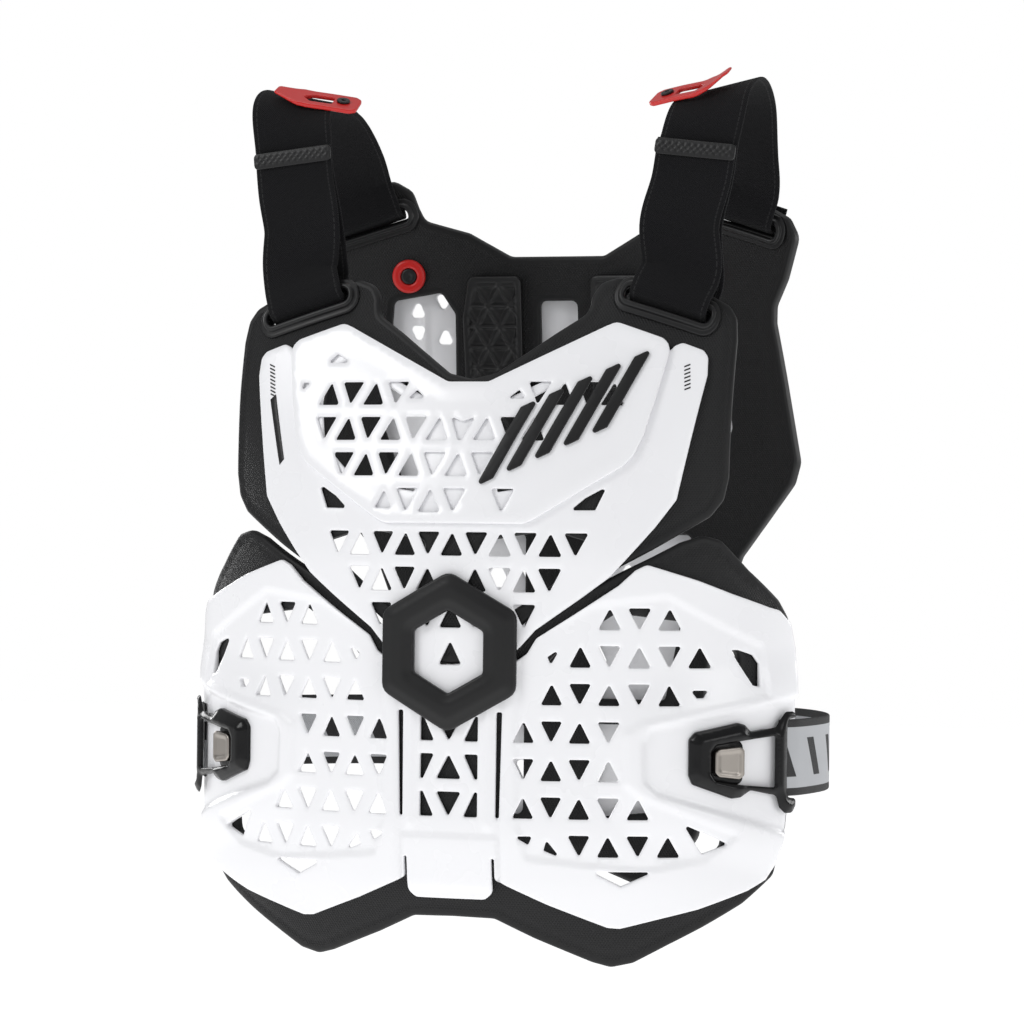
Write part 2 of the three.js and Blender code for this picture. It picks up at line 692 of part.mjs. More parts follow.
function ribbon(keys, width, wall, steps) {
  const box = new THREE.BoxGeometry(steps, wall, width, steps, 1, 1);
  return bent(box, (v) => {
    const t = THREE.MathUtils.clamp(v.x / steps + 0.5, 0, 1);
    const { place, wide, thick } = ribbonFrame(keys, t);
    return place.addScaledVector(wide, v.z).addScaledVector(thick, v.y);
  });
}

// The strap turns through a slot round the bar above it. Distances are from the slot's centre:
// out is along the panel's normal, up is away from the slot's long axis.
function slotTurn(shape, centre, tilt, wall, rows) {
  const angle = angleAt(centre[0]);
  const origin = shape.point(angle, centre[1], -wall / 2);
  const outward = shape.point(angle, centre[1], 1).sub(shape.point(angle, centre[1], 0));
  const across = tilted(tilt);
  across.addScaledVector(outward, -across.dot(outward)).normalize();
  const up = new THREE.Vector3().crossVectors(across, outward).multiplyScalar(shape.facing < 0 ? -1 : 1);
  return rows.map((row) => ({
    at: origin.clone().addScaledVector(outward, row.out).addScaledVector(up, row.up),
    across,
  }));
}

// Rows of a strap between the slots: back is the share of the way from the front slot to the back one,
// rise the share from the front slot up to shoulderRise, spread the share of girthHalf.
const STRAP_FRONT_RUN = [
  { back: 0.075, rise: 0.73, spread: 0.66, tilt: 12 },
  { back: 0.06, rise: 0.56, spread: 0.645, tilt: 8 },
  { back: 0.03, rise: 0.36, spread: 0.615, tilt: -4 },
];
const STRAP_OVER = [
  { back: 0.085, rise: 0.36, spread: 0.615, tilt: -4 },
  { back: 0.09, rise: 0.56, spread: 0.645, tilt: 8 },
  { back: 0.1, rise: 0.75, spread: 0.665, tilt: 12 },
  { back: 0.17, rise: 0.93, spread: 0.69, tilt: 14 },
  { back: 0.36, rise: 1, spread: 0.7, tilt: 12 },
  { back: 0.6, rise: 0.95, spread: 0.69, tilt: 6 },
  { back: 0.8, rise: 0.78, spread: 0.67, tilt: -6 },
];
const SLOT_TURN_ROWS = 8;

function strapPoint(row) {
  const from = front.point(angleAt(frontSlot[0]), frontSlot[1], 0);
  const to = back.point(angleAt(backSlot[0]), backSlot[1], 0);
  return {
    at: new THREE.Vector3(row.spread * girthHalf, from.y + (to.y - from.y) * row.back,
      from.z + (shoulderRise - from.z) * row.rise),
    across: tilted(row.tilt),
  };
}

function shoulderKeys() {
  const clear = layerGap + webbingWall / 2;
  const frontHalf = foamWall / 2 + ringWall + clear + 0.8;
  const frontBack = foamWall / 2 + clear;
  const frontTurn = slotTurn(front, frontSlot, frontSlotTilt, foamWall + 2 * (plateWall + layerGap), [
    { out: frontHalf + 1, up: 26 },
    { out: frontHalf + 0.6, up: 10 },
    { out: frontHalf - 1, up: 2.5 },
    { out: 2, up: -0.8 },
    { out: -3, up: -0.8 },
    { out: -frontBack - 1.4, up: 3 },
    { out: -frontBack - 2, up: 12 },
    { out: -frontBack - 1.2, up: 26 },
  ]);
  const backInner = backFoamWall / 2 + ringWall + clear + 1.1;
  const backOuter = backFoamWall / 2 + clear;
  const backTurn = slotTurn(back, backSlot, backSlotTilt, -backFoamWall, [
    { out: -backInner - 1, up: 26 },
    { out: -backInner - 0.9, up: 10 },
    { out: -backInner + 0.4, up: 2.5 },
    { out: -2, up: -0.8 },
    { out: 3.6, up: -1.6 },
    { out: backOuter + 1.8, up: 2 },
    { out: backOuter + 2.8, up: 12 },
    { out: backOuter + 2.4, up: 28 },
  ]);
  return [
    ...STRAP_FRONT_RUN.map(strapPoint),
    ...frontTurn,
    ...STRAP_OVER.map(strapPoint),
    ...backTurn,
  ];
}

const strapKeys = shoulderKeys();
const withMirror = (geometry) => [geometry, mirrored(geometry)];
const shoulderStrap = () => withMirror(ribbon(strapKeys, shoulderWidth, webbingWall, 38));

// A ribbed tab on the folded end of the strap, outside it
const TAB_FROM = { back: 0.075, rise: 0.728, spread: 0.66, tilt: 12 };
const TAB_TO = { back: 0.069, rise: 0.655, spread: 0.654, tilt: 10 };

function strapTab() {
  const lift = webbingWall / 2 + layerGap + tabWall / 2;
  const keys = [TAB_FROM, TAB_TO].map((row) => {
    const key = strapPoint(row);
    key.at.y -= lift * 1.1;
    return key;
  });
  return withMirror(ribbon(keys, shoulderWidth + 1, tabWall, 2));
}

// The red plate across the strap near its top: an S-shaped profile, drawn out along the strap
function shoulderPlate() {
  const overIndex = STRAP_FRONT_RUN.length + SLOT_TURN_ROWS + 3.3;
  const { place, tangent, wide, thick } = ribbonFrame(strapKeys, overIndex / (strapKeys.length - 1));
  const half = shoulderPlateLength / 2;
  const rise = webbingWall / 2 + 1.5;
  const curve = [[-1, 0], [-0.75, 0.02], [-0.3, 0.06], [0.25, 0.04], [0.6, 0.35], [1, 1]];
  const lower = curve.map(([a, b]) => [a * half - 0.2 * half, rise + b * shoulderPlateLift]);
  const upper = lower.map(([a, b], i) => [a, b + shoulderPlateWall * (i === curve.length - 1 ? 0.35 : 1)]);
  const outline = new THREE.Shape([...lower, ...upper.reverse()].map(([a, b]) => new THREE.Vector2(a, b)));
  const prism = new THREE.ExtrudeGeometry(outline, { depth: shoulderPlateDepth, bevelEnabled: false });
  const sign = thick.z > 0 ? 1 : -1;
  return withMirror(bent(prism, (v) => place.clone().addScaledVector(wide, v.x)
    .addScaledVector(thick, v.y * sign).addScaledVector(tangent, v.z - shoulderPlateDepth / 2)));
}

// Hook buckles on the lower plate, in lengths round the girth and heights
const BUCKLE = { across: 0.7, rise: -0.527 };
const buckleStart = girthLength(angleAt(BUCKLE.across * girthHalf));
const BUCKLE_BODY = [
  [0.02, -0.2], [0.38, -0.38], [0.45, -0.37], [0.52, -0.3], [0.78, -0.36], [0.8, 0.33],
  [0.75, 0.31], [0.52, 0.27], [0.47, 0.34], [0.41, 0.36], [0.03, 0.26],
];
const BUCKLE_EARS = [
  [0.72, -0.37], [0.8, -0.54], [0.93, -0.54], [1, -0.44], [1, 0.36], [0.96, 0.44], [0.85, 0.44], [0.72, 0.31],
];
const BUCKLE_WINDOW = [[0.46, -0.22], [0.7, -0.27], [0.7, 0.22], [0.46, 0.18]];
const BUTTON = { along: 0.3, up: -0.03 };
const STRAP_START = 0.82;

function girthPair(points, inner, outer, holes = []) {
  const build = (sign) => {
    const turned = (outline) => {
      const placed = outline.map(([a, z]) => [sign * a, z]);
      return sign < 0 ? placed.reverse() : placed;
    };
    const block = (outline, margin) => cutter(front, turned(outline),
      inner - margin, outer + margin, angleAtLength);
    const wall = layer(front, inner, outer).intersect(block(points, WINDOW_MARGIN));
    return cutAll(wall, holes.map((hole) => block(hole, HOLE_MARGIN)));
  };
  return [build(1), build(-1)];
}

const buckleSized = (points) => points.map(([a, b]) => [
  buckleStart + a * buckleLength, BUCKLE.rise * reach + b * buckleHeight,
]);

function buttonOutline(grow) {
  const half = buttonSize / 2 + grow;
  const s = buckleStart + BUTTON.along * buckleLength;
  const z = BUCKLE.rise * reach + BUTTON.up * buckleHeight;
  return [[s - half, z - half], [s + half, z - half], [s + half, z + half], [s - half, z + half]];
}

function hookBuckle() {
  const top = layerGap + buckleWall;
  const bodies = girthPair(buckleSized(BUCKLE_BODY), layerGap, top,
    [buckleSized(BUCKLE_WINDOW), buttonOutline(buttonClearance)]);
  const ears = girthPair(buckleSized(BUCKLE_EARS), webbingWall + 2.6, top);
  return bodies.map((body, i) => toGeometry(body.add(ears[i])));
}

function hookButton() {
  return girthPair(buttonOutline(0), layerGap, layerGap + buckleWall + 1).map(toGeometry);
}

// The side strap: out from under the buckle, round the side and onto the back shell.
// side is a share of girthHalf, depth a share of torsoDepth.
const SIDE_RUN = [
  { side: 1.015, depth: 0.56 },
  { side: 0.985, depth: 0.7 },
  { side: 0.88, depth: 0.86 },
  { side: 0.7, depth: 0.98 },
];

function sideStrap() {
  const z = BUCKLE.rise * reach;
  const under = layerGap + webbingWall / 2 + 0.1;
  const over = LAYERS.backShell[1] + 2 * layerGap + webbingWall / 2;
  const startLength = buckleStart + STRAP_START * buckleLength;
  const keys = [
    front.point(angleAtLength(startLength), z, under),
    front.point(angleAtLength(startLength + 10), z, under),
    front.point(angleAtLength(startLength + 20), z, under + 0.3),
    ...SIDE_RUN.map((row) => new THREE.Vector3(row.side * girthHalf, row.depth * torsoDepth, z)),
    back.point(angleAt(0.5 * girthHalf), z, over + 1),
    back.point(angleAt(0.4 * girthHalf), z, over),
    back.point(angleAt(0.3 * girthHalf), z, over),
  ].map((at) => ({ at, across: new THREE.Vector3(0, 0, 1) }));
  return withMirror(ribbon(keys, sideWidth, webbingWall, 20));
}

// Assembly
const root = new THREE.Group();
root.position.set(0, -torsoDepth / 2, -shoulderRise);

function add(name, geometry, finish) {
  const mesh = new THREE.Mesh(geometry, new THREE.MeshStandardMaterial(COLOURS[finish]));
  mesh.name = name;
  root.add(mesh);
}

function addPair(name, [right, left], finish) {
  add(`${name}_right`, right, finish);
  add(`${name}_left`, left, finish);
}

add('front_foam_upper', toGeometry(upperFoam()), 'foam');
add('front_foam_lower', toGeometry(lowerFoam()), 'foam');
add('lower_plate', toGeometry(lowerPlate()), 'plate');
add('chest_plate_outer', toGeometry(outerPlate()), 'plate');
add('chest_plate_inner', toGeometry(innerPlate()), 'plate');
add('centre_badge', badge(), 'rubber');
graphicBars().forEach((bar, i) => add(`graphic_bar_${i + 1}`, bar, 'rubber'));
const frontFace = LAYERS.frontFoam[1] + layerGap;
addPair('front_slot_ring', slotRing(front, frontSlot, frontSlotTilt, frontFace, frontFace + ringWall), 'rubber');
addPair('back_slot_ring', slotRing(back, backSlot, backSlotTilt, -(layerGap + ringWall), -layerGap), 'rubber');
add('back_foam', toGeometry(backFoam()), 'foam');
add('back_shell', toGeometry(backShell()), 'plate');
addPair('back_pad', backPad(), 'foam');
addPair('back_rivet', rivet(), 'red');
addPair('shoulder_strap', shoulderStrap(), 'fabric');
addPair('strap_tab', strapTab(), 'rubber');
addPair('shoulder_plate', shoulderPlate(), 'red');
addPair('hook_buckle', hookBuckle(), 'buckle');
addPair('hook_button', hookButton(), 'metal');
addPair('side_strap', sideStrap(), 'webbing');

const part = new THREE.Group();
part.add(root);
part.updateMatrixWorld(true);

export default part;
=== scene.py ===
"""Dresses a motocross chest protector: moulded plates, embossed foam, straps, buckles, studio and camera."""
import logging
from dataclasses import dataclass
from enum import Enum
from math import cos, pi, radians, sin
from typing import Callable, Optional, Sequence

import bpy
import numpy as np
from mathutils import Matrix, Vector
from mathutils.geometry import delaunay_2d_cdt

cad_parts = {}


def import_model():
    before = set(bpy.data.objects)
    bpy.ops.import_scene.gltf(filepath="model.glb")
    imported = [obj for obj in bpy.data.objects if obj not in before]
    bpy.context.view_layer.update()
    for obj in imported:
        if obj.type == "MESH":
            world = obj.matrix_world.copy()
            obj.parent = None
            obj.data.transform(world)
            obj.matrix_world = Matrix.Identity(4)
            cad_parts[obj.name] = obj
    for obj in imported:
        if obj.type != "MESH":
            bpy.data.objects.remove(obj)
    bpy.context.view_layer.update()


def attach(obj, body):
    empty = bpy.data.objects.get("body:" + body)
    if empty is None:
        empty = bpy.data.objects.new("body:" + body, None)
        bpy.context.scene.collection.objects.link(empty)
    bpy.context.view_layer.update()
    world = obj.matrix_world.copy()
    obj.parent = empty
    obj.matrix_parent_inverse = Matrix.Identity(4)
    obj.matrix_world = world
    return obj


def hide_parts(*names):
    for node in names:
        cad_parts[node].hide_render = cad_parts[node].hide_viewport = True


LOG = logging.getLogger("deflector")
MM = 0.001
CHUNK = 4_000_000
NEAR_STRAIGHT = 0.02
ARC_STEP = 0.4
EDGE_SHARE = 0.45
HEX_ROW = 0.866
LONG_EDGE = 20

Array = np.ndarray
Place = Callable[[Array, Array, Array], Array]
Height = Callable[[Array, Array, Array, Array], Array]
Outline = Sequence[tuple[float, float]]
Points = list[tuple[float, float]]
Looks = dict[str, bpy.types.Material]
Socket = bpy.types.NodeSocket


def soft_step(x: Array) -> Array:
    """Rise from 0 to 1 as x goes from 0 to 1, level at both ends."""
    t = np.clip(x, 0.0, 1.0)
    return t * t * (3.0 - 2.0 * t)


def bump_at(distance: Array, centre: float, width: float) -> Array:
    """A bell of height 1 where distance equals centre."""
    return np.exp(-(((distance - centre) / width) ** 2))


def crossings(points: Array, starts: Array, ends: Array) -> Array:
    """Tell which points lie inside the loops, by counting the edges to the right of each point.

    Args:
        points: Points, one row each.
        starts: First ends of all loop edges.
        ends: Second ends of the same edges.

    Returns:
        True where the count is odd.
    """
    result = np.zeros(len(points), bool)
    parts = max(1, len(points) * len(starts) // CHUNK)
    run, rise = (ends - starts).T
    slope = run / np.where(rise == 0, 1e-9, rise)
    for chunk in np.array_split(np.arange(len(points)), parts):
        height = points[chunk, 1][:, None]
        spans = (starts[:, 1] > height) != (ends[:, 1] > height)
        reach = starts[:, 0] + (height - starts[:, 1]) * slope
        result[chunk] = (spans & (points[chunk, 0][:, None] < reach)).sum(1) % 2 == 1
    return result


def nearest(points: Array, targets: Array) -> Array:
    """Distance from each point to the nearest target."""
    if len(targets) == 0:
        return np.full(len(points), 1e3)
    result = np.empty(len(points))
    parts = max(1, len(points) * len(targets) // CHUNK)
    for chunk in np.array_split(np.arange(len(points)), parts):
        gaps = points[chunk][:, None, :] - targets[None, :, :]
        result[chunk] = np.sqrt((gaps**2).sum(2).min(1))
    return result


def polygon_gap(s: Array, z: Array, outline: Outline) -> Array:
    """Signed distance to a polygon, negative inside, from the nearest point of each straight edge."""
    points = np.stack([s, z], -1)
    starts = np.asarray(outline, float)
    ends = np.roll(starts, -1, 0)
    edges = ends - starts
    away = points[:, None, :] - starts[None, :, :]
    along = np.clip((away * edges).sum(2) / (edges**2).sum(1), 0.0, 1.0)
    gap = np.sqrt(((away - along[:, :, None] * edges) ** 2).sum(2).min(1))
    return np.where(crossings(points, starts, ends), -gap, gap)


def mirrored(outline: Outline) -> Points:
    """The same outline on the other side of the centre line."""
    return [(-x, z) for x, z in reversed(list(outline))]


def whole(half: Outline) -> Points:
    """Close a right half, listed from the centre line at the top round to the centre line below."""
    return list(half) + [(-x, z) for x, z in reversed(list(half)) if x > 0]


def divided(loop: Array, counts: Array) -> Array:
    """Cut each edge of a loop into its count of equal parts."""
    following = np.roll(loop, -1, 0)
    index = np.repeat(np.arange(len(loop)), counts)
    place = np.arange(counts.sum()) - np.repeat(np.cumsum(counts) - counts, counts)
    share = place / np.repeat(counts, counts)
    return loop[index] + (following[index] - loop[index]) * share[:, None]


def fillet(outline: Outline, radius: float, step: float) -> Array:
    """Round each corner of a closed outline by an arc, and cut the straight edges into steps.

    Args:
        outline: Corners in order.
        radius: Corner radius, shortened where an edge is too short for it.
        step: Longest edge that is left.

    Returns:
        The dense loop, one row for each point.
    """
    points = np.asarray(outline, float)
    inward = points - np.roll(points, 1, 0)
    onward = np.roll(points, -1, 0) - points
    lengths = np.linalg.norm(inward, axis=1), np.linalg.norm(onward, axis=1)
    inward = inward / lengths[0][:, None]
    onward = onward / lengths[1][:, None]
    turn = np.arctan2(inward[:, 0] * onward[:, 1] - inward[:, 1] * onward[:, 0], (inward * onward).sum(1))
    half = np.tan(np.abs(turn) / 2) + 1e-9
    reach = np.minimum(radius * half, EDGE_SHARE * np.minimum(*lengths))
    corners = []
    for i, point in enumerate(points):
        if abs(turn[i]) < NEAR_STRAIGHT:
            corners.append(point[None, :])
            continue
        count = max(2, int(np.ceil(abs(turn[i]) / ARC_STEP)))
        bend = reach[i] / half[i]
        side = np.array([-inward[i, 1], inward[i, 0]]) * np.sign(turn[i])
        start = point - inward[i] * reach[i]
        centre = start + side * bend
        angles = np.arctan2(*(start - centre)[::-1]) + turn[i] * np.linspace(0, 1, count + 1)
        corners.append(centre + bend * np.stack([np.cos(angles), np.sin(angles)], -1))
    loop = np.concatenate(corners)
    lengths = np.linalg.norm(np.roll(loop, -1, 0) - loop, axis=1)
    return divided(loop, np.maximum(1, np.ceil(lengths / step)).astype(int))


def turned(loop: Array, anticlockwise: bool) -> Array:
    """Give a loop the wanted direction, by the sign of its area."""
    following = np.roll(loop, -1, 0)
    area = (loop[:, 0] * following[:, 1] - following[:, 0] * loop[:, 1]).sum()
    return loop if (area > 0) == anticlockwise else loop[::-1]


class Girth:
    """The ellipse that the panels follow round the body, with its arc length."""

    half = 214.0
    depth = 126.0

    def __init__(self) -> None:
        """Tabulate arc length against angle by the midpoint rule."""
        self.angles = np.linspace(-1.569, 1.569, 6001)
        middle = (self.angles[1:] + self.angles[:-1]) / 2
        speed = np.hypot(self.half * np.cos(middle), self.depth * np.sin(middle))
        lengths = np.concatenate([[0.0], np.cumsum(speed * np.diff(self.angles))])
        self.lengths = lengths - np.interp(0.0, self.angles, lengths)

    def angle(self, length: Array) -> Array:
        """Angle at an arc length from the centre line."""
        return np.interp(length, self.lengths, self.angles)

    def length(self, x: Array) -> Array:
        """Arc length at a distance x from the centre plane."""
        share = np.clip(np.asarray(x) / self.half, -0.99999, 0.99999)
        return np.interp(np.arcsin(share), self.angles, self.lengths)


GIRTH = Girth()
THIN_AREA = 0.05
TORSO = 240.0
REACH = 300.0
RISE = 284.0


def to_part(points: Array) -> Array:
    """Move points from the chest line's frame to the part's frame, in metres."""
    return (points + np.array([0.0, -TORSO / 2, -RISE])) * MM


class Panel:
    """A moulded panel: sections give how far it stands back and how much it wraps at each height."""

    def __init__(self, rows: Sequence[tuple[float, float, float]], facing: int) -> None:
        """Tabulate both columns with a monotone cubic that is level where the rows are level.

        Args:
            rows: Rise as a share of REACH, setback and wrap as shares of the girth's depth.
            facing: -1 for the chest, 1 for the back.
        """
        table = np.array(rows)
        self.facing = facing
        self.z = np.arange(table[0, 0] * REACH, table[-1, 0] * REACH, 0.5)
        self.setback = self._curve(table[:, 0] * REACH, table[:, 1])
        self.wrap = self._curve(table[:, 0] * REACH, table[:, 2])

    def _curve(self, heights: Array, values: Array) -> Array:
        """Hermite curve whose slopes are harmonic means of the neighbouring secants."""
        secant = np.diff(values) / np.diff(heights)
        before, after = secant[:-1], secant[1:]
        product = before * after
        mean = np.where(product > 0, 2 * product / np.where(before + after == 0, 1, before + after), 0.0)
        slope = np.concatenate([[secant[0]], mean, [secant[-1]]])
        i = np.clip(np.searchsorted(heights, self.z, side="right") - 1, 0, len(heights) - 2)
        span = heights[i + 1] - heights[i]
        t = (self.z - heights[i]) / span
        return (
            (2 * t**3 - 3 * t**2 + 1) * values[i]
            + (t**3 - 2 * t**2 + t) * span * slope[i]
            + (3 * t**2 - 2 * t**3) * values[i + 1]
            + (t**3 - t**2) * span * slope[i + 1]
        )

    def surface(self, s: Array, z: Array) -> Array:
        """Point of the panel's face: x by the sine of the angle, y by setback plus wrap times 1 - cosine."""
        angle = GIRTH.angle(s)
        setback = np.interp(z, self.z, self.setback) * GIRTH.depth
        bulge = np.interp(z, self.z, self.wrap) * GIRTH.depth * (1 - np.cos(angle))
        y = setback + bulge if self.facing < 0 else TORSO - setback - bulge
        return np.stack([GIRTH.half * np.sin(angle), y, z + 0 * angle], -1)

    def normal(self, s: Array, z: Array) -> Array:
        """Unit normal away from the body, the cross product of the two central differences."""
        step = 1.0
        across = self.surface(s + step, z) - self.surface(s - step, z)
        along = self.surface(s, z + step) - self.surface(s, z - step)
        normal = np.cross(across, along)
        return normal / np.linalg.norm(normal, axis=-1, keepdims=True) * (1 if self.facing < 0 else -1)

    def point(self, s: Array, z: Array, proud: Array) -> Array:
        """Point at an arc length and a height, moved outwards by proud."""
        return self.surface(s, z) + self.normal(s, z) * np.asarray(proud)[..., None]


FRONT = Panel(
    [
        (-1.08, 0.13, 1), (-0.893, 0.036, 1), (-0.783, -0.02, 1), (-0.66, -0.048, 1), (-0.12, -0.048, 1),
        (0.027, 0, 0.92), (0.133, 0.079, 0.74), (0.283, 0.238, 0.45), (0.417, 0.381, 0.32), (0.5, 0.46, 0.3),
        (0.65, 0.57, 0.3),
    ],
    -1,
)
BACK = Panel(
    [
        (-1, 0.11, 0.5), (-0.82, 0.03, 0.5), (-0.66, -0.02, 0.5), (-0.1, -0.02, 0.5), (0.3, 0.02, 0.48),
        (0.5, 0.07, 0.44), (0.64, 0.12, 0.4), (0.86, 0.17, 0.4),
    ],
    1,
)


def at_girth(outline: Outline) -> Points:
    """Turn x and z into arc length and z, with long edges cut first so that they stay true."""
    corners = np.asarray(outline, float)
    lengths = np.linalg.norm(np.roll(corners, -1, 0) - corners, axis=1)
    dense = divided(corners, np.maximum(1, lengths // LONG_EDGE).astype(int))
    return list(zip(GIRTH.length(dense[:, 0]).tolist(), dense[:, 1].tolist()))


def shell_outline(half: Outline) -> Points:
    """Close and wrap a right half that is given in shares."""
    return at_girth(whole(sized(half)))


def wrapped(outlines: Sequence[Outline]) -> list[Points]:
    """Several outlines in arc length and z."""
    return [at_girth(outline) for outline in outlines]


class Slot(Enum):
    """Material slots of the part."""

    PLATE = "plate"
    FOAM = "foam"
    RUBBER = "rubber"
    GRAPHIC = "graphic"
    STRAP = "strap"
    WEBBING = "webbing"
    BUCKLE = "buckle"
    BUTTON = "button"
    RED = "red"


def make_mesh(name: str, points: Array, faces: Sequence[Array], coords: Array) -> bpy.types.Object:
    """Make a smooth mesh object from arrays.

    Args:
        name: Name of the object and mesh.
        points: Vertices in metres.
        faces: Arrays of triangles or quads, one row of vertex numbers each.
        coords: The UV pair of each vertex, in metres.

    Returns:
        The linked object, at the origin.
    """
    mesh = bpy.data.meshes.new(name)
    corners = np.concatenate([rows.ravel() for rows in faces]).astype(np.int32)
    sizes = np.concatenate([np.full(len(rows), rows.shape[1]) for rows in faces])
    mesh.vertices.add(len(points))
    mesh.vertices.foreach_set("co", points.astype(np.float32).ravel())
    mesh.loops.add(len(corners))
    mesh.loops.foreach_set("vertex_index", corners)
    mesh.polygons.add(len(sizes))
    mesh.polygons.foreach_set("loop_start", (np.cumsum(sizes) - sizes).astype(np.int32))
    mesh.update(calc_edges=True)
    mesh.polygons.foreach_set("use_smooth", np.ones(len(sizes), bool))
    layer = mesh.uv_layers.new(name="flat")
    layer.data.foreach_set("uv", coords[corners].astype(np.float32).ravel())
    mesh.validate()
    piece = bpy.data.objects.new(name, mesh)
    bpy.context.scene.collection.objects.link(piece)
    return piece


def report(piece: bpy.types.Object, slot: Slot, look: bpy.types.Material, *nodes: str) -> bpy.types.Object:
    """Dress a piece, let it ride on the part and hide the imported parts of the nodes it stands for."""
    piece.data.materials.clear()
    piece.data.materials.append(look)
    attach(piece, "root")
    if nodes:
        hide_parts(*nodes)
    LOG.info("%s: %d faces", piece.name, len(piece.data.polygons))
    return piece


def swept(points: Array, rows: int, count: int) -> tuple[Array, list[Array]]:
    """Flat points, and the quads and caps of a tube whose rings are its rows of points."""
    grid = np.arange(rows * count).reshape(rows, count)
    beside = np.roll(grid, -1, 1)
    quads = np.stack([grid[:-1], beside[:-1], beside[1:], grid[1:]], -1).reshape(-1, 4)
    return points.reshape(-1, 3), [quads, grid[0][None, ::-1], grid[-1][None, :]]


def flat_height(value: float) -> Height:
    """A height that is the same everywhere."""
    return lambda s, z, edge, hole: np.full(len(s), value)


@dataclass
class Moulding:
    """A moulded wall: an outline with holes on a curved face, both faces flat to it, all edges rounded."""

    name: str
    place: Place
    outline: Outline
    holes: Sequence[Outline] = ()
    inner: Height = flat_height(-2.5)
    outer: Height = flat_height(0.0)
    edge: float = 1.0
    corner: float = 5.0
    hole_corner: float = 1.1
    pitch: float = 4.0
    step: float = 4.0
    arc_rows: int = 2
    inside_out: bool = False

    def loops(self) -> tuple[Array, Array, Array]:
        """All loops with the material on their left.

        Returns:
            The points, the number of the next point of each, and how many belong to the outline.
        """
        outer = turned(fillet(self.outline, self.corner, self.step), True)
        rings = [outer] + [turned(fillet(hole, self.hole_corner, self.step), False) for hole in self.holes]
        following = []
        first = 0
        for ring in rings:
            following.append(first + np.roll(np.arange(len(ring)), -1))
            first += len(ring)
        return np.concatenate(rings), np.concatenate(following), len(outer)

    @staticmethod
    def inward(points: Array, following: Array) -> Array:
        """Vector into the material at each loop point, so long that all edges move by 1."""
        previous = np.empty_like(following)
        previous[following] = np.arange(len(following))
        edge = points[following] - points
        edge /= np.linalg.norm(edge, axis=1, keepdims=True) + 1e-12
        left = np.stack([-edge[:, 1], edge[:, 0]], -1)
        total = left + left[previous]
        return total * (2 / np.maximum((total**2).sum(1, keepdims=True), 1.6))

    def fill(self, border: Array, following: Array) -> Array:
        """Hexagonal grid of points inside the material, clear of its border."""
        low, high = border.min(0), border.max(0)
        rows = np.arange(low[1], high[1], self.pitch * HEX_ROW)
        columns = np.arange(low[0], high[0] + self.pitch, self.pitch)
        grid = np.stack(np.meshgrid(columns, rows), -1)
        grid[1::2, :, 0] += self.pitch / 2
        grid = grid.reshape(-1, 2)
        grid = grid[crossings(grid, border, border[following])]
        return grid[nearest(grid, border) > self.pitch * 0.5]

    def triangles(self, points: Array, border: int, following: Array) -> tuple[Array, Array, Array]:
        """Triangulate the flat face between its loops.

        Args:
            points: Border points first, then the filling.
            border: How many border points there are.
            following: The next point of each border point.

        Returns:
            The points, the triangles and the new number of each border point.
        """
        edges = np.stack([np.arange(border), following], -1).tolist()
        found = delaunay_2d_cdt([Vector(p) for p in points.tolist()], edges, [], 0, 1e-6, True)
        flat = np.array([tuple(v) for v in found[0]])
        faces = np.array([f for f in found[2] if len(f) == 3])
        number = np.zeros(len(points), int)
        for new, olds in enumerate(found[3]):
            number[olds] = new
        keep = crossings(flat[faces].mean(1), points[:border], points[:border][following])
        pairs = np.stack([number[:border], number[:border][following]], -1)
        return flat, faces[self.material(flat, faces, keep, pairs)], number[:border]

    @staticmethod
    def material(flat: Array, faces: Array, keep: Array, pairs: Array) -> Array:
        """Decide on the triangles at a border by its direction, and on thin ones by their neighbours.

        Args:
            flat: Points of the triangulation.
            faces: All its triangles, anticlockwise.
            keep: The first choice, by the centre of each triangle.
            pairs: The two points of each border edge, with the material on its left.

        Returns:
            Which triangles are material.
        """
        along, beside = flat[faces[:, 1]] - flat[faces[:, 0]], flat[faces[:, 2]] - flat[faces[:, 0]]
        known = np.abs(along[:, 0] * beside[:, 1] - along[:, 1] * beside[:, 0]) > THIN_AREA
        owner = {}
        for number, (a, b, c) in enumerate(faces.tolist()):
            owner.update({(a, b): number, (b, c): number, (c, a): number})
        for a, b in pairs.tolist():
            for edge, inside in (((a, b), True), ((b, a), False)):
                if edge in owner:
                    keep[owner[edge]], known[owner[edge]] = inside, True
        thin, waiting = np.flatnonzero(~known).tolist(), -1
        while thin and len(thin) != waiting:
            waiting = len(thin)
            for number in list(thin):
                a, b, c = faces[number].tolist()
                beyond = [owner[edge] for edge in ((b, a), (c, b), (a, c)) if edge in owner]
                near = [other for other in beyond if known[other]]
                if near:
                    keep[number], known[number] = keep[near[0]], True
                    thin.remove(number)
        return keep

    def build(self) -> bpy.types.Object:
        """Lay both faces, then join them by rows that follow a quarter circle at each edge.

        Returns:
            The closed piece.
        """
        loop, following, outer_count = self.loops()
        inward = self.inward(loop, following)
        border = loop + inward * self.edge
        filling = self.fill(border, following)
        flat, faces, number = self.triangles(np.concatenate([border, filling]), len(border), following)

        def heights(points: Array) -> tuple[Array, Array]:
            """Outer and inner height at flat points."""
            gaps = nearest(points, loop[:outer_count]), nearest(points, loop[outer_count:])
            return self.outer(*points.T, *gaps), self.inner(*points.T, *gaps)

